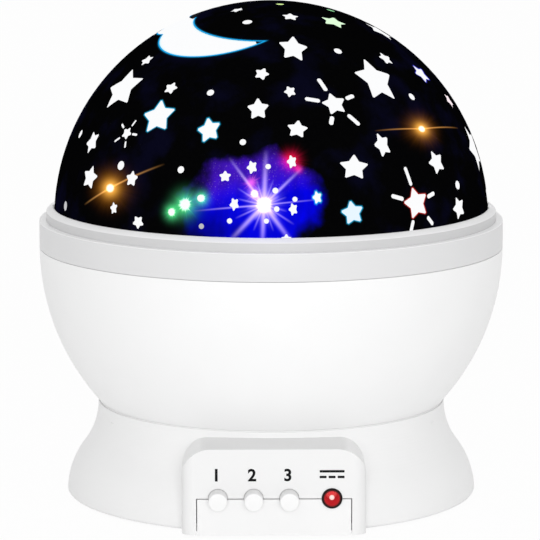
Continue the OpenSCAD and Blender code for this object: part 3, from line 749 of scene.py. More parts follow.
@dataclass(frozen=True)
class Flare:
    """A light seen through the dome: a white core, a coloured halo and rays. Radii are in degrees.

    A wide flare is stretched sideways by that factor.
    """

    spot: Spot
    core: float
    halo: float
    color: Rgb
    rays: tuple[Ray, ...] = ()
    ray_color: Rgb = WHITE
    spikes: float = 0.0
    heart: Rgb | None = None
    wide: float = 1.0

    def paint(self, view: DomeView) -> list[Signal]:
        """Adds the flare's glows.

        Args:
            view: The dome's directions.

        Returns:
            The colours of its halo, core, heart and rays.
        """
        g, front = view.g, view.front
        right, v = self.spot.offsets(view)
        u = right / self.wide
        out = u.hypot(v).at_least(1e-4)
        reach, core = out, math.radians(self.core)
        if self.spikes:
            around = g.node("ShaderNodeCombineXYZ", inputs={"X": u / out, "Y": v / out})
            reach = out * (1.0 + self.spikes * (g.noise(around, 0.16, 1) - 0.5))
        glows = [g.glow(reach.bell(math.radians(self.halo)) * front, self.color)]
        if self.core:
            glows.append(g.glow(reach.ramp(core * 1.3, core * 0.55) * front, WHITE))
        if self.heart:
            glows.append(g.glow(out.bell(core * 1.9) * front, self.heart))
        return glows + [g.glow(ray.paint(u, v) * front, self.ray_color) for ray in self.rays]


@dataclass(frozen=True)
class StarRim:
    """A thin painted glow fringe around one star window, which may be stretched upright. Sizes are in metres.
    """

    spot: Spot
    radius: float
    turn: float
    color: Rgb
    stretch: float = 1.0
    reach: float = 0.22 * MM
    waist: float = 0.55
    blunt: float = 0.35 * MM

    def paint(self, view: DomeView, dome_r: float) -> Signal:
        """Adds the painted glow fringe.

        Args:
            view: The dome's directions.
            dome_r: The dome's radius.

        Returns:
            Its colour.
        """
        right, up = self.spot.offsets(view)
        across, high = right * dome_r, up * (dome_r / self.stretch)
        turn, sector = math.radians(self.turn), math.pi / 5
        u = across * math.cos(turn) - high * math.sin(turn)
        v = across * math.sin(turn) + high * math.cos(turn)
        out = u.hypot(v)
        fold = abs(((u.angle_to(v) + sector) % (2 * sector)) - sector)
        tip, valley = Vector((0.0, 1.0)), Vector((math.sin(sector), math.cos(sector))) * self.waist
        edge = (valley - tip).normalized()
        along = out * fold.cosine() - self.radius
        flank = out * fold.sine() * -edge.y + along * edge.x
        beyond = flank.at_least(along + min(self.blunt, self.radius / 6))
        near = (out < 2.0 * self.radius) * view.front
        return view.g.glow(beyond.at_least(0.0).bell(self.reach) * near, self.color)


@dataclass(frozen=True)
class Crescent:
    """The place inside one circle and outside another, whose radii are in degrees, with its painted glow
    fringe.
    """

    outer: Spot
    outer_radius: float
    inner: Spot
    inner_radius: float
    color: Rgb = (0.01, 0.4, 0.85)
    reach: float = 0.36

    def depths(self, view: DomeView) -> tuple[Signal, Signal]:
        """How far each place is from the two circles, in radians.

        Args:
            view: The dome's directions.

        Returns:
            How far it is outside the outer circle, and inside the inner one.
        """
        outer, inner = (
            view.along(spot.outward()).at_most(1.0).arc_cosine() - math.radians(radius)
            for spot, radius in ((self.outer, self.outer_radius), (self.inner, self.inner_radius))
        )
        return outer, inner * -1.0

    def paint(self, view: DomeView, where: Signal) -> Signal:
        """Adds the painted glow fringe outside the crescent.

        Args:
            view: The dome's directions.
            where: 1 in the region that shows it.

        Returns:
            Its colour.
        """
        outside, inside = self.depths(view)
        spread = math.radians(self.reach)
        outer_edge = outside.at_least(0.0).bell(spread) * (inside < spread)
        inner_edge = inside.at_least(0.0).bell(spread) * (outside < spread)
        beyond = (outside > 0.0).at_least(inside > 0.0)
        return view.g.glow(outer_edge.at_least(inner_edge) * beyond * where, self.color)


@dataclass(frozen=True)
class Moon:
    """The crescent: its cut window, and a fuller tail past an azimuth on its left, painted on the film as a
    glow in the lit dome's colour.
    """

    window: Crescent = Crescent(Spot(-41, 71), 18.2, Spot(-7, 79.5), 19.6)
    tail: Crescent = Crescent(Spot(-88, 74), 15.2, Spot(-90, 84), 16.0)
    tail_start: float = -75
    edge: Rgb = (0.45, 0.9, 1.0)
    dark: Rgb = (0.003, 0.003, 0.006)

    def past(self, view: DomeView) -> Signal:
        """1 in the tail's region."""
        return view.along(Spot(self.tail_start - 90, 0).outward()) > 0.0

    def paint(self, view: DomeView, color: Rgb) -> list[Signal]:
        """Adds the painted glow fringes and the tail's painted glow.

        Args:
            view: The film's directions.
            color: The colour of the tail's painted glow.

        Returns:
            The colours of the window's fringe, the tail's fringe and the tail.
        """
        past = self.past(view)
        outside, inside = self.tail.depths(view)
        tail = view.g.glow((outside < 0.0) * (inside < 0.0) * past, color)
        return [self.window.paint(view, 1.0 - past), self.tail.paint(view, past), tail]

    def shade(self, view: DomeView, color: Signal) -> Signal:
        """Tints the lit dome at the window's edges and darkens it above the tail.

        Args:
            view: The lit dome's directions.
            color: Its colour.

        Returns:
            Its new colour.
        """
        outside, inside = self.window.depths(view)
        spread, past = math.radians(self.window.reach), self.past(view)
        rim = outside.bell(spread).at_least(inside.bell(spread)) * (outside < spread) * (inside < spread)
        tinted = view.g.mix(rim * (1.0 - past) * 0.6, color, self.edge)
        return view.g.mix((self.tail.depths(view)[1] > 0.0) * past, tinted, self.dark)


@dataclass(frozen=True)
class Tint:
    """A round patch in another colour: its place, radius in degrees, colour and soft share of its radius."""

    spot: Spot
    radius: float
    color: Rgb
    soft: float = 0.2

    def cover(self, view: DomeView) -> Signal:
        """How much of each place the patch covers.

        Args:
            view: The dome's directions.

        Returns:
            0 to 1.
        """
        outer = math.radians(self.radius)
        inner = outer * (1.0 - self.soft)
        return view.along(self.spot.outward()).ramp(math.cos(outer), math.cos(inner))


@dataclass(frozen=True)
class MaskFilm(Finish):
    """Black film of the dome, with the glow of the lights behind it, their flares, fringes and haze painted
    on it as emission.
    """

    center: Vector
    radius: float
    flares: tuple[Flare, ...]
    rims: tuple[StarRim, ...]
    moon: Moon
    cloud: Spot = Spot(-5.6, 11.2)
    cloud_wide: float = 16.2
    cloud_high: float = 12.8

    def cloud_glow(self, view: DomeView) -> Signal:
        """Adds a painted blue glow of haze, violet at its top and dark at its lower left, with painted grains
        of light in it.

        Args:
            view: The film's directions.

        Returns:
            Its colour.
        """
        g, unit = view.g, view.unit
        u, v = self.cloud.offsets(view)
        wide, high = u / math.radians(self.cloud_wide), v / math.radians(self.cloud_high)
        billow = g.noise(unit, 0.14, 5) - 0.5
        lean = high - 0.1 * wide
        out = wide.hypot(lean) + 0.75 * billow
        dusk = (0.0 - wide - 0.9 * lean + billow).ramp(0.35, 1.1)
        body = out.ramp(1.14, 0.8) * (1.0 - 0.6 * dusk) * view.front
        rise = (lean - 0.12 * wide + 0.6 * billow).ramp(0.0, 0.8)
        wisps = 0.85 + 0.7 * (g.noise(g.stretched(unit, (1.0, 1.0, 0.35)), 0.04, 5) - 0.5)
        grains = g.noise(unit, 0.006, 1).ramp(0.64, 0.76) * rise * 0.55
        deep = g.mix(rise, (0.0, 0.0, 0.85), (0.065, 0.008, 0.6))
        return g.glow(body * wisps, g.mix(grains, deep, (0.5, 0.25, 0.9)))

    def sockets(self, g: Graph, place: Signal) -> dict[str, Any]:
        """Sockets of the film.

        Args:
            g: The material's graph.
            place: Object coordinates.

        Returns:
            The sockets, by name.
        """
        view = DomeView(g, place, self.center)
        # Painted glow: a faint blue haze of light across the film.
        haze = g.noise(view.unit, 0.22, 4).ramp(0.48, 0.7)
        glows = [self.cloud_glow(view), g.glow(haze, (0.0012, 0.0012, 0.009))]
        glows += self.moon.paint(view, LitDome.shine)
        for flare in self.flares:
            glows += flare.paint(view)
        glows += [rim.paint(view, self.radius) for rim in self.rims]
        dust = g.noise(place, 0.9 * MM, 3)
        return dict(
            Base_Color=g.mix(dust, (0.0008, 0.0008, 0.001), (0.0018, 0.0018, 0.002)),
            Roughness=0.5 + 0.15 * dust,
            Specular_IOR_Level=0.0,
            Emission_Color=g.total(glows),
            Emission_Strength=1.0,
            Normal=g.bump(dust, 0.004 * MM),
        )


@dataclass(frozen=True)
class LitDome(Finish):
    """Frosted dome lit from inside, with a few windows tinted by the coloured lights."""

    center: Vector
    tints: tuple[Tint, ...]
    moon: Moon
    shine: Rgb = (0.97, 0.975, 0.985)

    def sockets(self, g: Graph, place: Signal) -> dict[str, Any]:
        """Sockets of the lit dome.

        Args:
            g: The material's graph.
            place: Object coordinates.

        Returns:
            The sockets, by name.
        """
        view = DomeView(g, place, self.center)
        frost = g.noise(place, 0.5 * MM, 3)
        color = self.moon.shade(view, g.glow(0.97 + 0.05 * frost, self.shine))
        for tint in self.tints:
            color = g.mix(tint.cover(view), color, tint.color)
        return dict(
            Base_Color=grey(0.01),
            Roughness=0.55 + 0.2 * frost,
            Specular_IOR_Level=0.0,
            Emission_Color=color,
            Emission_Strength=1.0,
            Normal=g.bump(frost, 0.01 * MM),
        )


# ---------- shared mesh steps ----------


def middle(node: str) -> Vector:
    """The middle of a CAD node's box."""
    low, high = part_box(node)
    return (low + high) / 2


def put(name: str, data: bpy.types.ID) -> bpy.types.Object:
    """Adds an object with this data to the scene.

    Args:
        name: The object's name.
        data: Its mesh, curve, light or camera.

    Returns:
        The new object.
    """
    made = bpy.data.objects.new(name, data)
    bpy.context.scene.collection.objects.link(made)
    return made


def put_mesh(name: str, shape: bmesh.types.BMesh) -> bpy.types.Object:
    """Adds an object with this mesh to the scene.

    Args:
        name: The names of the object and its mesh.
        shape: The mesh. It is freed.

    Returns:
        The new object.
    """
    mesh = bpy.data.meshes.new(name)
    shape.to_mesh(mesh)
    shape.free()
    return put(name, mesh)


def make_piece(
    name: str,
    shape: bmesh.types.BMesh,
    body: str,
    material: bpy.types.Material,
    sharp: float = 35.0,
    even: bool = False,
) -> bpy.types.Object:
    """Turns a bmesh into a piece that rides on a body.

    Args:
        name: The piece's name.
        shape: Its mesh, in place. It is freed.
        body: The CAD body it moves with.
        material: Its finish.
        sharp: Edges at a larger angle than this, in degrees, stay sharp.
        even: Whether large faces set the shading of the corners that they share.

    Returns:
        The new object.
    """
    bmesh.ops.recalc_face_normals(shape, faces=shape.faces[:])
    piece = put_mesh(name, shape)
    mesh = piece.data
    mesh.materials.append(material)
    for face in mesh.polygons:
        face.use_smooth = True
    mesh.set_sharp_from_angle(angle=math.radians(sharp))
    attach(piece, body)
    if even:
        weighted = piece.modifiers.new("even_shading", "WEIGHTED_NORMAL")
        weighted.weight, weighted.keep_sharp = 100, True
    log.info("%s: %d faces on %s", name, len(mesh.polygons), body)
    return piece


def spun(
    profile: Sequence[Point],
    steps: int,
    axis: Vector = UP,
    center: Vector = Vector((0.0, 0.0, 0.0)),
) -> bmesh.types.BMesh:
    """Spins a profile around an axis into a closed solid.

    Args:
        profile: Points as (distance from the axis, distance along it). Its ends lie on the axis, or it
            is a loop clear of the axis.
        steps: Faces around.
        axis: Unit vector of the axis, square to X.
        center: A point on the axis.

    Returns:
        The bmesh.
    """
    shape = bmesh.new()
    verts = [shape.verts.new(center + Vector((out, 0.0, 0.0)) + axis * along) for out, along in profile]
    ends = verts[1:] if profile[0][0] == profile[-1][0] == 0.0 else verts[1:] + verts[:1]
    edges = [shape.edges.new(pair) for pair in zip(verts, ends)]
    bmesh.ops.spin(
        shape, geom=verts + edges, cent=center, axis=axis, angle=2 * math.pi, steps=steps, use_merge=True
    )
    bmesh.ops.remove_doubles(shape, verts=shape.verts[:], dist=WELD)
    return shape


def hoops(shape: bmesh.types.BMesh, corners: Sequence[Point]) -> list[bmesh.types.BMEdge]:
    """Finds the edges around +Z through some corners of a spun profile.

    Args:
        shape: The spun solid.
        corners: The profile's corners, as (distance from the axis, level).

    Returns:
        The edges.
    """
    found = []
    for edge in shape.edges:
        ends = [(vert.co.xy.length, vert.co.z) for vert in edge.verts]
        if any(all(math.dist(end, corner) < SAME for end in ends) for corner in corners):
            found.append(edge)
    return found


def quarter(radius: float, level: float, steps: int) -> list[Point]:
    """Points of a quarter circle from its foot, at that level, up to the axis."""
    angles = [math.pi / 2 * i / steps for i in range(steps)]
    return [(radius * math.cos(a), level + radius * math.sin(a)) for a in angles] + [(0.0, level + radius)]


def rounded(shape: bmesh.types.BMesh, edges: list[bmesh.types.BMEdge], width: float, segments: int) -> None:
    """Rounds some edges of a bmesh.

    Args:
        shape: The bmesh.
        edges: The edges.
        width: The radius.
        segments: How many faces the rounding has.
    """
    bmesh.ops.bevel(
        shape, geom=edges, offset=width, offset_type="OFFSET", segments=segments, profile=0.5,
        affect="EDGES", material=-1, clamp_overlap=True,
    )


def prism(
    outline: Sequence[Vector],
    along: Vector,
    corners: Iterable[int] = (),
    radius: float = 0.0,
    segments: int = 14,
) -> bmesh.types.BMesh:
    """Extrudes a flat outline, some of whose corners are rounded first.

    Args:
        outline: Its corners, in order.
        along: The way and the distance that it is extruded.
        corners: Indexes of the corners to round.
        radius: Their radius.
        segments: How many faces each rounding has.

    Returns:
        The bmesh of the solid.
    """
    shape = bmesh.new()
    verts = [shape.verts.new(corner) for corner in outline]
    shape.faces.new(verts)
    soft = [verts[index] for index in corners]
    if soft:
        bmesh.ops.bevel(
            shape, geom=soft, offset=radius, offset_type="OFFSET", segments=segments, profile=0.5,
            affect="VERTICES", material=-1,
        )
    grown = bmesh.ops.extrude_face_region(shape, geom=shape.faces[:])["geom"]
    moved = [v for v in grown if isinstance(v, bmesh.types.BMVert)]
    bmesh.ops.translate(shape, verts=moved, vec=along)
    bmesh.ops.recalc_face_normals(shape, faces=shape.faces[:])
    return shape


def rod(center: Vector, radius: float, length: float, steps: int = 64) -> bmesh.types.BMesh:
    """A cylinder along Y.

    Args:
        center: Its middle.
        radius: Its radius.
        length: Its length.
        steps: Faces around.

    Returns:
        Its bmesh.
    """
    shape = bmesh.new()
    seat = Matrix.Translation(center) @ Matrix.Rotation(math.pi / 2, 4, "X")
    bmesh.ops.create_cone(
        shape, cap_ends=True, segments=steps, radius1=radius, radius2=radius, depth=length, matrix=seat
    )
    return shape


def carved(
    shape: bmesh.types.BMesh, tools: Iterable[tuple[str, bmesh.types.BMesh]]
) -> bmesh.types.BMesh:
    """Combines a solid with others by Boolean modifiers, one after another.

    Args:
        shape: The solid. It is freed.
        tools: An operation, such as DIFFERENCE, with its solid, each of which is freed.

    Returns:
        The bmesh of the result.
    """
    work = put_mesh("spare_solid", shape)
    spares = [work]
    for operation, tool in tools:
        step = work.modifiers.new(operation.lower(), "BOOLEAN")
        step.operation, step.solver, step.object = operation, "EXACT", put_mesh("spare_solid", tool)
        spares.append(step.object)
    result = bmesh.new()
    result.from_object(work, bpy.context.evaluated_depsgraph_get())
    for spare in spares:
        mesh = spare.data
        bpy.data.objects.remove(spare)
        bpy.data.meshes.remove(mesh)
    bmesh.ops.dissolve_limit(result, angle_limit=LEVEL, verts=result.verts[:], edges=result.edges[:])
    return result


def dress(nodes: Iterable[str], material: bpy.types.Material) -> None:
    """Gives CAD nodes a finish in place of their own.

    Args:
        nodes: Their names.
        material: The finish.
    """
    for name in nodes:
        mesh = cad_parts[name].data
        mesh.materials.clear()
        mesh.materials.append(material)
        log.info("%s: dressed in %s", name, material.name)


# ---------- sub-assemblies ----------


@dataclass
class Base:
    """Flared foot with the control panel's housing, its lower cover, screws and rubber feet."""

    # The base's whites are set darker than the bowl's, the panel's most, partly as painted shade for the
    # bowl's overhang. Their level shares paint the level shelf and flare top darker still: painted shade.
    white: MouldedPlastic = MouldedPlastic(
        "base_white_plastic", grey(0.9), painted_level_shading=-0.13, level_from=0.9, level_full=0.99
    )
    panel: MouldedPlastic = MouldedPlastic(
        "panel_white_plastic", grey(0.86), painted_level_shading=-0.1, level_from=0.9, level_full=0.99
    )
    insert: MouldedPlastic = MouldedPlastic("insert_white_plastic", grey(0.89), wave_depth=0.01 * MM)
    glide: MouldedPlastic = MouldedPlastic("glide_ring_plastic", grey(0.9), roughness=0.5)
    glide_wide: float = 1.4 * MM
    glide_inset: float = 0.42 * MM
    glide_gap: float = 0.05 * MM
    glide_sunk: float = 0.3 * MM
    glide_edge: float = 0.06 * MM

    def build(self) -> bpy.types.Material:
        """Dresses the base's pieces and adds the ring that the bowl glides over.

        Returns:
            The plastic of the panel's housing.
        """
        top, bowl_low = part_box("base_shell")[1].z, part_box("bowl")[0].z
        rim = self.top_radius("base_shell", top) - self.glide_inset
        bore, foot, crown = rim - self.glide_wide, top - self.glide_sunk, bowl_low - self.glide_gap
        profile = [(bore, foot), (rim, foot), (rim, crown), (bore, crown)]
        shape = spun(profile, ROUND_STEPS)
        rounded(shape, hoops(shape, profile[2:]), self.glide_edge, 2)
        make_piece("bowl_glide_ring", shape, "base", self.glide.build())
        dress(("base_shell", "bottom_cover"), self.white.build())
        dress(("panel_insert",), self.insert.build())
        dress(("feet",), SoftRubber("foot_rubber").build())
        screws = ("base_screws", "motor_screws", "hub_screws", "deck_screws")
        dress(screws, TurnedSteel("screw_steel").build())
        return self.panel.build()

    def top_radius(self, node: str, level: float) -> float:
        """Largest radius of a node's corners at its top level."""
        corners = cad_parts[node].data.vertices
        return max(v.co.xy.length for v in corners if abs(v.co.z - level) < SAME)


class Mark(Enum):
    """The number printed above a button."""

    ONE = "1"
    TWO = "2"
    THREE = "3"


@dataclass
class PushButton:
    """One push button, rounded at its rim. Its places come from its CAD node."""

    index: int
    body: str
    cap_radius: float = 2.45 * MM
    flange_radius: float = 3.3 * MM
    flange: float = 1 * MM
    stem_radius: float = 1.7 * MM
    stem: float = 2.7 * MM
    rim: float = 0.4 * MM
    steps: int = 64

    def build(self, material: bpy.types.Material) -> None:
        """Builds the button over its CAD node.

        Args:
            material: Its plastic.
        """
        node = f"button_{self.index}"
        low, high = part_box(node)
        center = middle(node)
        front = Vector((center.x, low.y, center.z))
        length = high.y - low.y
        flange = length - self.stem
        cap = flange - self.flange
        profile = [
            (0.0, 0.0), (self.cap_radius, 0.0), (self.cap_radius, cap), (self.flange_radius, cap),
            (self.flange_radius, flange), (self.stem_radius, flange), (self.stem_radius, length),
            (0.0, length),
        ]
        shape = spun(profile, self.steps, BACK, front)
        outer = 0.9 * self.cap_radius
        rim = [
            edge for edge in shape.edges
            if all(v.co.y - low.y < WELD and (v.co - front).length > outer for v in edge.verts)
        ]
        rounded(shape, rim, self.rim, 5)
        piece = make_piece(f"push_button_{self.index}", shape, self.body, material)
        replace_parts(piece, node)


@dataclass
class PanelHousing:
    """Outer skin of the panel's arched housing, whose top climbs towards the bowl."""

    half: float = 23.8 * MM
    top: float = 23.1 * MM
    foot: float = 0.55 * MM
    corner: float = 7.4 * MM
    edge: float = 3 * MM
    back_y: float = -42.5 * MM
    climb: float = 1.25 * MM
    climb_fall: float = 0.56
    lift: float = 0.03 * MM
    skin: float = 0.8 * MM
    seam: float = 0.27 * MM
    cuts: int = 3
    cutter: float = 20 * MM

    def block(self, face_y: float, shrink: float = 0.0) -> bmesh.types.BMesh:
        """The housing's solid.

        Args:
            face_y: Level of its face.
            shrink: How much its face, sides and top are moved in. Its foot then goes down by twice as
                much and its back goes back by five times as much, so that both ends are cut open.

        Returns:
            The bmesh.
        """
        half, top, corner = self.half - shrink, self.top - shrink, self.corner - shrink
        front, back, foot = face_y + shrink, self.back_y + 5 * shrink, self.foot - 2 * shrink
        wide = half + self.lift
        outline = [(-wide, foot), (wide, foot), (wide, top), (-wide, top)]
        ahead = front - self.edge
        arch = prism([Vector((x, ahead, z)) for x, z in outline], BACK * (back - ahead), (2, 3), corner)
        flat = self.half - self.corner
        for step in range(-self.cuts, self.cuts + 1):
            geometry = [*arch.verts, *arch.edges, *arch.faces]
            cut = RIGHT * (step * flat / (self.cuts + 1))
            bmesh.ops.bisect_plane(arch, geom=geometry, plane_co=cut, plane_no=RIGHT)
        slope = self.climb / (self.back_y - face_y)
        for vert in arch.verts:
            share = max(0.0, (vert.co.z - top + corner) / corner)
            fall = 1.0 - self.climb_fall * min(abs(vert.co.x) / flat, 1.0) ** 2
            vert.co.z += share * fall * slope * (vert.co.y - face_y)
        bmesh.ops.triangulate(arch, faces=arch.faces[:])
        plan = [(-half, front), (half, front), (half, back + self.edge), (-half, back + self.edge)]
        below = foot - self.edge
        rounding = prism([Vector((x, y, below)) for x, y in plan], UP * (2 * top), (0, 1), self.edge - shrink)
        return carved(arch, [("INTERSECT", rounding)])

    def build(self, holes: Sequence[tuple[float, float, float]], material: bpy.types.Material) -> float:
        """Builds the skin.

        Args:
            holes: The X, Z and radius of each control's hole.
            material: Its plastic.

        Returns:
            The level of its face, as Y.
        """
        face_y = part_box("base_shell")[0].y - self.lift
        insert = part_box("panel_insert")[1]
        side, sill = insert.x + self.seam, insert.z + self.seam
        notch = [(-side, -sill), (side, -sill), (side, sill), (-side, sill)]
        ahead = face_y - self.cutter / 4
        tools = [self.block(face_y, self.skin)]
        tools += [prism([Vector((x, ahead, z)) for x, z in notch], BACK * self.cutter)]
        tools += [rod(Vector((x, face_y, z)), radius, self.cutter) for x, z, radius in holes]
        skin = carved(self.block(face_y), [("DIFFERENCE", tool) for tool in tools])
        make_piece("panel_housing_skin", skin, "base", material, even=True)
        return face_y


@dataclass
class ControlPanel:
    """The three buttons, the marks printed above them and the lit power socket."""

    hole_gap: float = 0.12 * MM
    socket_radius: float = 2.6 * MM
    mark_z: float = 16.4 * MM
    mark_shift: float = 0.4 * MM
    digit_high: float = 3.3 * MM
    digit_bold: float = 0.028
    symbol_wide: float = 6.4 * MM
    symbol_z: float = 16.6 * MM
    bar: float = 0.62 * MM
    bar_gap: float = 0.55 * MM
    bar_rise: float = 0.75 * MM
    bar_corner: float = 0.12 * MM
    ink: float = 0.04 * MM
    bodies: tuple[str, ...] = ("button_one", "button_two", "button_three")

    def build(self, white: bpy.types.Material) -> None:
        """Builds the housing, the buttons and the marks, and dresses the socket.

        Args:
            white: The housing's plastic.
        """
        # The cap's faces that face up are painted darker: painted shade.
        cap = MouldedPlastic("button_white_plastic", grey(0.9), 0.35, drift=0.015, painted_level_shading=-0.14).build()
        ink = PrintInk("panel_ink").build()
        radii = {f"button_{index}": PushButton.cap_radius for index in (1, 2, 3)}
        radii["dc_socket"] = self.socket_radius
        holes = [(middle(node).x, middle(node).z, radius + self.hole_gap) for node, radius in radii.items()]
        face_y = PanelHousing().build(holes, white)
        for index, (body, mark) in enumerate(zip(self.bodies, Mark, strict=True), start=1):
            PushButton(index, body).build(cap)
            place = Vector((middle(f"button_{index}").x - self.mark_shift, face_y, self.mark_z))
            self.print_digit(mark, place, ink)
        socket = middle("dc_socket")
        self.print_symbol(Vector((socket.x, face_y, self.symbol_z)), ink)
        dress(("dc_socket",), SocketPlastic("socket_black_plastic", socket.x, socket.z).build())
        dress(("socket_light",), LitRed("socket_red_light", socket.x, socket.z).build())
        # The steel pin is no lamp: its red glow and near-white tip are painted light, the tip a painted
        # highlight.
        tip_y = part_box("socket_pin")[0].y
        pin = LitRed("socket_pin_painted_glow", socket.x, socket.z, 0.9 * MM, painted_highlight=(1.0, 0.86, 0.8), tip_y=tip_y)
        dress(("socket_pin",), pin.build())

    def print_digit(self, mark: Mark, place: Vector, ink: bpy.types.Material) -> None:
        """Prints one number on the panel's face.

        Args:
            mark: The number.
            place: Its middle, on the face.
            ink: Its ink.
        """
        curve = bpy.data.curves.new(f"number_{mark.value}_outline", "FONT")
        curve.body = mark.value
        curve.offset = self.digit_bold
        text = put(curve.name, curve)
        bpy.context.view_layer.update()
        flat = bpy.data.meshes.new_from_object(text.evaluated_get(bpy.context.evaluated_depsgraph_get()))
        shape = bmesh.new()
        shape.from_mesh(flat)
        bpy.data.objects.remove(text)
        bpy.data.curves.remove(curve)
        bpy.data.meshes.remove(flat)
        bmesh.ops.remove_doubles(shape, verts=shape.verts[:], dist=SAME)
        xs, ys = [v.co.x for v in shape.verts], [v.co.y for v in shape.verts]
        center = Vector((min(xs) + max(xs), min(ys) + max(ys), 0.0)) / 2
        scale = self.digit_high / (max(ys) - min(ys))
        stand = Matrix.Rotation(math.pi / 2, 4, "X") @ Matrix.Scale(scale, 4) @ Matrix.Translation(-center)
        bmesh.ops.transform(shape, verts=shape.verts[:], matrix=Matrix.Translation(place) @ stand)
        grown = bmesh.ops.extrude_face_region(shape, geom=shape.faces[:])["geom"]
        raised = [v for v in grown if isinstance(v, bmesh.types.BMVert)]
        bmesh.ops.translate(shape, verts=raised, vec=BACK * -self.ink)
        make_piece(f"printed_number_{mark.value}", shape, "base", ink)

    def print_symbol(self, place: Vector, ink: bpy.types.Material) -> None:
        """Prints the direct current symbol, a bar over three short ones.

        Args:
            place: Its middle, on the face.
            ink: Its ink.
        """
        short = (self.symbol_wide - 2 * self.bar_gap) / 3
        bars = [(0.0, self.bar_rise, self.symbol_wide)]
        bars += [(step * (short + self.bar_gap), -self.bar_rise, short) for step in (-1, 0, 1)]
        shape = bmesh.new()
        for shift, rise, wide in bars:
            seat = Matrix.Translation(place + Vector((shift, -self.ink / 2, rise)))
            size = Matrix.Diagonal((wide, self.ink, self.bar, 1.0))
            bmesh.ops.create_cube(shape, size=1.0, matrix=seat @ size)
        outward = [e for e in shape.edges if abs(e.verts[0].co.y - e.verts[1].co.y) > self.ink / 2]
        rounded(shape, outward, self.bar_corner, 3)
        make_piece("direct_current_symbol", shape, "base", ink)


@dataclass
class Electrics:
    """Control board with its switches and chip, and the dry cells with their contacts."""

    cells: int = 4

    def build(self) -> None:
        """Dresses the electrical pieces."""
        low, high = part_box("battery_cells")
        size = high - low
        pitch = (size.y - size.z) / (self.cells - 1)
        wrap = CellWrap("cell_sleeve", low.y + size.z / 2, pitch, size.x / 2)
        dress(("battery_cells",), wrap.build())
        dress(("control_board",), PrintedBoard("board_green_lacquer").build())
        black = MouldedBlack("switch_black_plastic").build()
        dress(("tact_switches", "controller_chip", "plunger_1", "plunger_2", "plunger_3"), black)
        dress(("cell_springs", "cell_plates"), TurnedSteel("contact_steel", color=(0.75, 0.72, 0.66)).build())


@dataclass
class Drive:
    """Geared motor, its pinion, and the ring gear, hub, bush and washer under the bowl."""

    acetal: MouldedPlastic = MouldedPlastic("gear_acetal", (0.83, 0.8, 0.72), roughness=0.5, drift=0.06)

    def build(self) -> None:
        """Dresses the drive's pieces."""
        dress(("drive_pinion", "ring_gear", "column_bush", "thrust_washer"), self.acetal.build())
        dress(("turntable_hub",), MouldedPlastic("hub_grey_plastic", (0.6, 0.6, 0.61)).build())
        dress(("gear_motor",), TurnedSteel("motor_can_steel", roughness=0.34).build())
        dress(("motor_shaft", "gear_clip"), TurnedSteel("shaft_steel", roughness=0.18).build())


@dataclass
class Bowl:
    """White bowl with the reflector deck that closes it."""

    white: MouldedPlastic = MouldedPlastic("bowl_white_plastic", grey(0.94), roughness=0.4)

    def build(self) -> None:
        """Dresses the bowl's pieces."""
        dress(("bowl",), self.white.build())
        inner = MouldedPlastic("inner_white_plastic", (0.9, 0.9, 0.89), roughness=0.6, grain_depth=0.006 * MM)
        dress(("reflector_deck", "lamp_column", "led_holder"), inner.build())


@dataclass
class Lamp:
    """Light board with its white centre light and three coloured ones."""

    def build(self) -> None:
        """Dresses the lamp's pieces."""
        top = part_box("led_board")[1].z
        pale = (0.86, 0.87, 0.86)
        board = MouldedPlastic("light_board_white", pale, roughness=0.35, grain_depth=0.002 * MM)
        dress(("led_board",), board.build())
        colors = {
            "lamp_led": (1.0, 0.9, 0.72), "red_led": (0.9, 0.05, 0.04),
            "green_led": (0.05, 0.8, 0.15), "blue_led": (0.06, 0.14, 0.95),
        }
        for name, color in colors.items():
            dress((name,), ClearLens(f"{name}_lens", color, top).build())


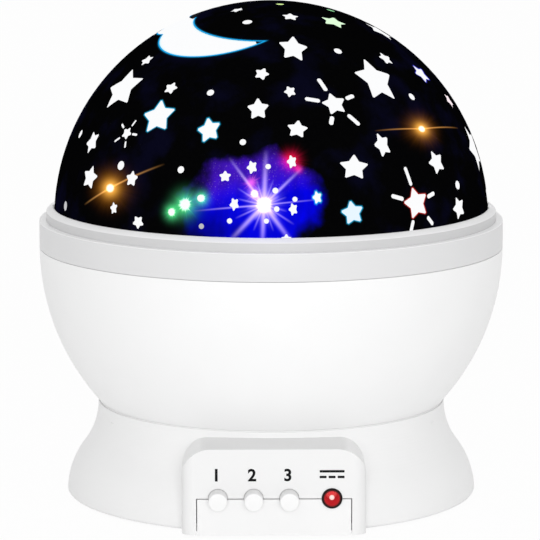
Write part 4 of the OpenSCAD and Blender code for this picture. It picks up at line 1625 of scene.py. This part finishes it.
@dataclass
class Cover:
    """Lift-off cover: grey collar and ring, lit dome and the black film with its windows."""

    center: Vector
    radius: float
    collar_foot: float = 3.25 * MM
    slope: float = 1.1 * MM
    flange: float = 1.5 * MM
    dome_wall: float = 1.6 * MM
    fit_gap: float = 0.03 * MM
    film_gap: float = 0.08 * MM
    spigot_inset: float = 2.4 * MM
    spigot_wall: float = 2 * MM
    spigot_lead: Point = (0.4 * MM, 0.6 * MM)
    collar_edges: Point = (0.26 * MM, 0.3 * MM)
    ring_lip: float = 0.4 * MM
    ring_edges: Point = (0.16 * MM, 0.12 * MM)
    dome_steps: tuple[int, int] = (40, 48)

    def flares(self) -> tuple[Flare, ...]:
        """The lights that shine through the dome.

        Returns:
            Their flares.
        """
        green, leaf = (0.01, 0.5, 0.08), (0.08, 0.55, 0.22)
        amber, fire, pink = (0.34, 0.11, 0.008), (0.95, 0.5, 0.08), (0.85, 0.12, 0.42)
        rays = (
            Ray(126.7, 15, 0.34, 0.9), Ray(88.5, 14, 0.55, 0.85), Ray(45, 13.5, 0.34, 0.9),
            Ray(6.4, 14, 0.16, 0.6), Ray(-52.8, 12, 0.5, 0.9), Ray(-32.5, 9, 0.22, 0.6),
            Ray(-92.3, 11, 0.5, 0.9), Ray(-133.8, 13, 0.5, 0.9), Ray(184.6, 18, 0.18, 0.7),
            Ray(167, 7, 0.2, 0.7), Ray(147.7, 8, 0.2, 0.7), Ray(20, 6, 0.2, 0.6), Ray(-15, 6, 0.2, 0.6),
            Ray(70, 7, 0.2, 0.6), Ray(107, 7, 0.2, 0.6), Ray(-70, 7, 0.2, 0.6), Ray(-112, 7, 0.2, 0.6),
            Ray(-155, 8, 0.2, 0.6), Ray(32, 4.5, 0.3, 0.9), Ray(57, 4.5, 0.3, 0.9), Ray(137, 4.5, 0.3, 0.9),
            Ray(-42, 4.5, 0.3, 0.9), Ray(-122, 4.5, 0.3, 0.9), Ray(-170, 4.5, 0.3, 0.9),
        )
        return (
            Flare(Spot(-2.6, 11.6), 1.75, 2.4, (0.62, 0.45, 1.0), rays, (0.85, 0.62, 1.0), 0.7),
            Flare(Spot(-5.1, 14.4), 0.9, 1.3, (0.7, 0.3, 0.9), spikes=0.6),
            Flare(Spot(-6.0, 17.2), 0.0, 1.1, pink, spikes=1.4),
            Flare(Spot(-26.9, 9.0), 0.9, 1.2, green, spikes=0.9, heart=leaf),
            Flare(Spot(-23.4, 11.1), 1.4, 1.7, green, spikes=1.1, heart=leaf),
            Flare(Spot(-18.9, 12.9), 0.8, 1.05, green, spikes=0.9, heart=leaf),
            Flare(Spot(4.5, 22.8), 0.0, 1.9, (1.0, 0.008, 0.08), spikes=0.4),
            Flare(Spot(6.4, 20.6), 0.0, 0.9, (0.75, 0.02, 0.12), spikes=0.6),
            Flare(
                Spot(-47.9, 13.3), 1.0, 3.3, amber,
                (Ray(36, 14, 0.2, 0.9), Ray(216, 9, 0.2, 0.9)), (0.95, 0.45, 0.12), 0.15, fire, 1.4,
            ),
            Flare(
                Spot(49.0, 28.8), 0.8, 2.7, amber,
                (Ray(-1.5, 13, 0.16, 0.9), Ray(169, 11, 0.16, 0.9)), (0.95, 0.42, 0.1), 0.25, fire, 1.45,
            ),
        )

    def rims(self) -> tuple[StarRim, ...]:
        """Painted coloured glow fringes around the brightest windows.

        Returns:
            The fringes.
        """
        cyan, blue, red = (0.02, 0.45, 0.75), (0.06, 0.06, 0.7), (0.6, 0.03, 0.02)
        return (
            StarRim(Spot(-37.4, 33.4), 5.1 * MM, -13, cyan),
            StarRim(Spot(-19.2, 30.6), 3.3 * MM, -17, cyan, 1.14),
            StarRim(Spot(20.3, 9.1), 3.3 * MM, -8, cyan),
            StarRim(Spot(11.1, 13.3), 1.4 * MM, -15, (0.03, 0.5, 0.4), 1.35),
            StarRim(Spot(69.5, 43.8), 3.6 * MM, -6, blue, 0.92),
            StarRim(Spot(39.8, 10.1), 4.4 * MM, -10, red, 1.0, 0.2 * MM),
        )

    def build(self) -> None:
        """Builds the collar, the ring and the lit dome, and dresses the film."""
        moon = Moon()
        film = MaskFilm("star_mask_film", self.center, self.radius, self.flares(), self.rims(), moon)
        dress(("star_mask",), film.build())
        self.build_collar()
        self.build_ring()
        self.build_dome(moon)

    def build_collar(self) -> None:
        """Builds the grey collar, with soft edges, over the spigot that pushes into the bowl."""
        low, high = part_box("collar")
        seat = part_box("diffuser_dome")
        out, bore = high.x, seat[1].x + self.fit_gap
        foot = low.z + self.collar_foot
        spigot = out - self.spigot_inset
        inside = spigot - self.spigot_wall
        lead_in, lead_up = self.spigot_lead
        profile = [
            (inside, low.z), (spigot - lead_in, low.z), (spigot, low.z + lead_up), (spigot, foot),
            (out, foot), (out, high.z), (bore, high.z), (bore, seat[0].z), (inside, seat[0].z),
        ]
        shape = spun(profile, ROUND_STEPS)
        rounded(shape, hoops(shape, [(out, foot)]), self.collar_edges[0], 4)
        rounded(shape, hoops(shape, [(out, high.z)]), self.collar_edges[1], 5)
        # The collar's ledge that faces up is painted lighter: a painted highlight.
        grey = MouldedPlastic("collar_grey_plastic", (0.765, 0.765, 0.77), painted_level_shading=0.24).build()
        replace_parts(make_piece("grey_collar", shape, "cover", grey), "collar")

    def build_ring(self) -> None:
        """Builds the ring that clamps the dome, with its sloped top."""
        low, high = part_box("dome_ring")
        out = high.x
        bore = self.radius + 2 * self.fit_gap
        lip = bore + self.ring_lip
        profile = [(bore, low.z), (out, low.z), (out, high.z - self.slope), (lip, high.z), (bore, high.z)]
        shape = spun(profile, ROUND_STEPS)
        rounded(shape, hoops(shape, profile[1:3]), self.ring_edges[0], 4)
        rounded(shape, hoops(shape, profile[3:]), self.ring_edges[1], 3)
        # The ring's sloped top is painted lighter than its upright band: a painted highlight.
        grey = MouldedPlastic("ring_grey_plastic", (0.63, 0.63, 0.635), painted_level_shading=0.45).build()
        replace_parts(make_piece("dome_clamp_ring", shape, "cover", grey), "dome_ring")

    def build_dome(self, moon: Moon) -> None:
        """Builds the frosted dome, whose outer skin meets the film's face at the windows.

        Args:
            moon: The crescent that tints it.
        """
        low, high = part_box("diffuser_dome")
        out = self.radius - self.film_gap
        inner = out - self.dome_wall
        level, seat = self.center.z, low.z + self.flange
        inner_steps, outer_steps = self.dome_steps
        profile = quarter(inner, level, inner_steps)[::-1]
        profile += [(inner, low.z), (high.x, low.z), (high.x, seat), (out, seat)]
        profile += quarter(out, level, outer_steps)
        shape = spun(profile, ROUND_STEPS)
        tints = (
            Tint(Spot(20.3, 9.1), 3.6, (0.8, 0.92, 1.0)),
            Tint(Spot(-70, 6), 1.8, (0.55, 0.55, 0.57)),
            Tint(Spot(-18.6, 5.9), 1.2, (0.5, 0.5, 0.52)),
            Tint(Spot(48.6, 68.2), 4.5, (0.75, 1.0, 0.7)),
            Tint(Spot(22, 84), 1.6, (0.7, 0.95, 0.35)),
            Tint(Spot(80, 74), 1.6, (0.3, 0.75, 0.35)),
            Tint(Spot(77.6, 34.2), 3.4, (1.0, 0.86, 0.9)),
            Tint(Spot(-3.4, 60.2), 2.7, (0.003, 0.003, 0.006), 0.05),
        )
        glass = LitDome("lit_dome_plastic", self.center, tints, moon).build()
        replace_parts(make_piece("frosted_dome", shape, "cover", glass), "diffuser_dome")


@dataclass
class BatteryDoor:
    """Door of the battery bay."""

    def build(self) -> None:
        """Dresses the door."""
        dress(("battery_door",), MouldedPlastic("door_white_plastic", grey(0.89), roughness=0.45).build())


# ---------- studio ----------


@dataclass
class Studio:
    """White floor and surroundings, a soft light and the camera."""

    distance: float = 0.961
    height: float = 0.2198
    azimuth: float = -0.8
    aim: Vector = Vector((-0.0003, 0.0, 0.0604))
    lens: float = 239.8
    sensor: float = 36.0
    nearest: float = 0.01
    light_place: Vector = Vector((0.03, -1.2, 0.2))
    light_aim: Vector = Vector((0.0, 0.0, 0.06))
    light_size: float = 0.5
    light_power: float = 4.75
    fill: float = 0.745
    floor_half: float = 6.0
    floor_color: Rgb = grey(0.95)
    floor_glow: float = 0.95

    def build(self) -> None:
        """Builds the studio."""
        self.add_camera()
        self.add_world()
        self.add_floor()
        self.add_light()
        bpy.context.scene.view_settings.view_transform = "Standard"

    def add_camera(self) -> None:
        """Adds the camera and makes it the scene's."""
        data = bpy.data.cameras.new("product_camera")
        data.lens, data.sensor_width, data.clip_start = self.lens, self.sensor, self.nearest
        turn = math.radians(self.azimuth)
        place = Vector((self.distance * math.sin(turn), -self.distance * math.cos(turn), self.height))
        camera = put("product_camera", data)
        self.point(camera, place, self.aim)
        bpy.context.scene.camera = camera

    def add_light(self) -> None:
        """Adds the soft square light in front of the object."""
        data = bpy.data.lights.new("key_light", "AREA")
        data.size, data.energy = self.light_size, self.light_power
        light = put("key_light", data)
        light.visible_camera = False
        self.point(light, self.light_place, self.light_aim)

    @staticmethod
    def point(thing: bpy.types.Object, place: Vector, aim: Vector) -> None:
        """Places a camera or light and turns it towards a point.

        Args:
            thing: The camera or light.
            place: Where it goes.
            aim: The point.
        """
        thing.location = place
        thing.rotation_euler = (aim - place).to_track_quat("-Z", "Y").to_euler()
        log.info("%s at %s", thing.name, tuple(round(value, 4) for value in place))

    def add_world(self) -> None:
        """Surrounds the scene with soft white, at full white only where it is seen or mirrored."""
        world = bpy.data.worlds.new("white_surround")
        bpy.context.scene.world = world
        g = Graph(world)
        dim, full = (
            g.node("ShaderNodeBackground", inputs={"Color": WHITE, "Strength": strength})
            for strength in (self.fill, 1.0)
        )
        g.finish(g.node("ShaderNodeMixShader", inputs={0: g.shown(), 1: dim, 2: full}))

    def add_floor(self) -> None:
        """Adds the floor, whose white shows to the camera and still takes the object's shadow."""
        shape = bmesh.new()
        bmesh.ops.create_grid(shape, x_segments=1, y_segments=1, size=self.floor_half)
        g = Graph.of("floor_white")
        matt = g.node("ShaderNodeBsdfDiffuse", inputs={"Color": self.floor_color})
        white = g.node("ShaderNodeEmission", inputs={"Color": WHITE, "Strength": 1.0})
        mixed = g.node("ShaderNodeMixShader", inputs={0: g.shown() * self.floor_glow, 1: matt, 2: white})
        floor = put_mesh("floor", shape)
        floor.data.materials.append(g.finish(mixed))


def main() -> None:
    """Builds the night light's pieces in order, then its studio."""
    logging.basicConfig(level=logging.INFO, format="%(name)s: %(message)s")
    low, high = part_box("star_mask")
    radius = (high.x - low.x) / 2
    center = Vector((0.0, 0.0, high.z - radius))
    ControlPanel().build(Base().build())
    Electrics().build()
    BatteryDoor().build()
    Drive().build()
    Bowl().build()
    Lamp().build()
    Cover(center, radius).build()
    Studio().build()


if __name__ == "__main__":
    main()
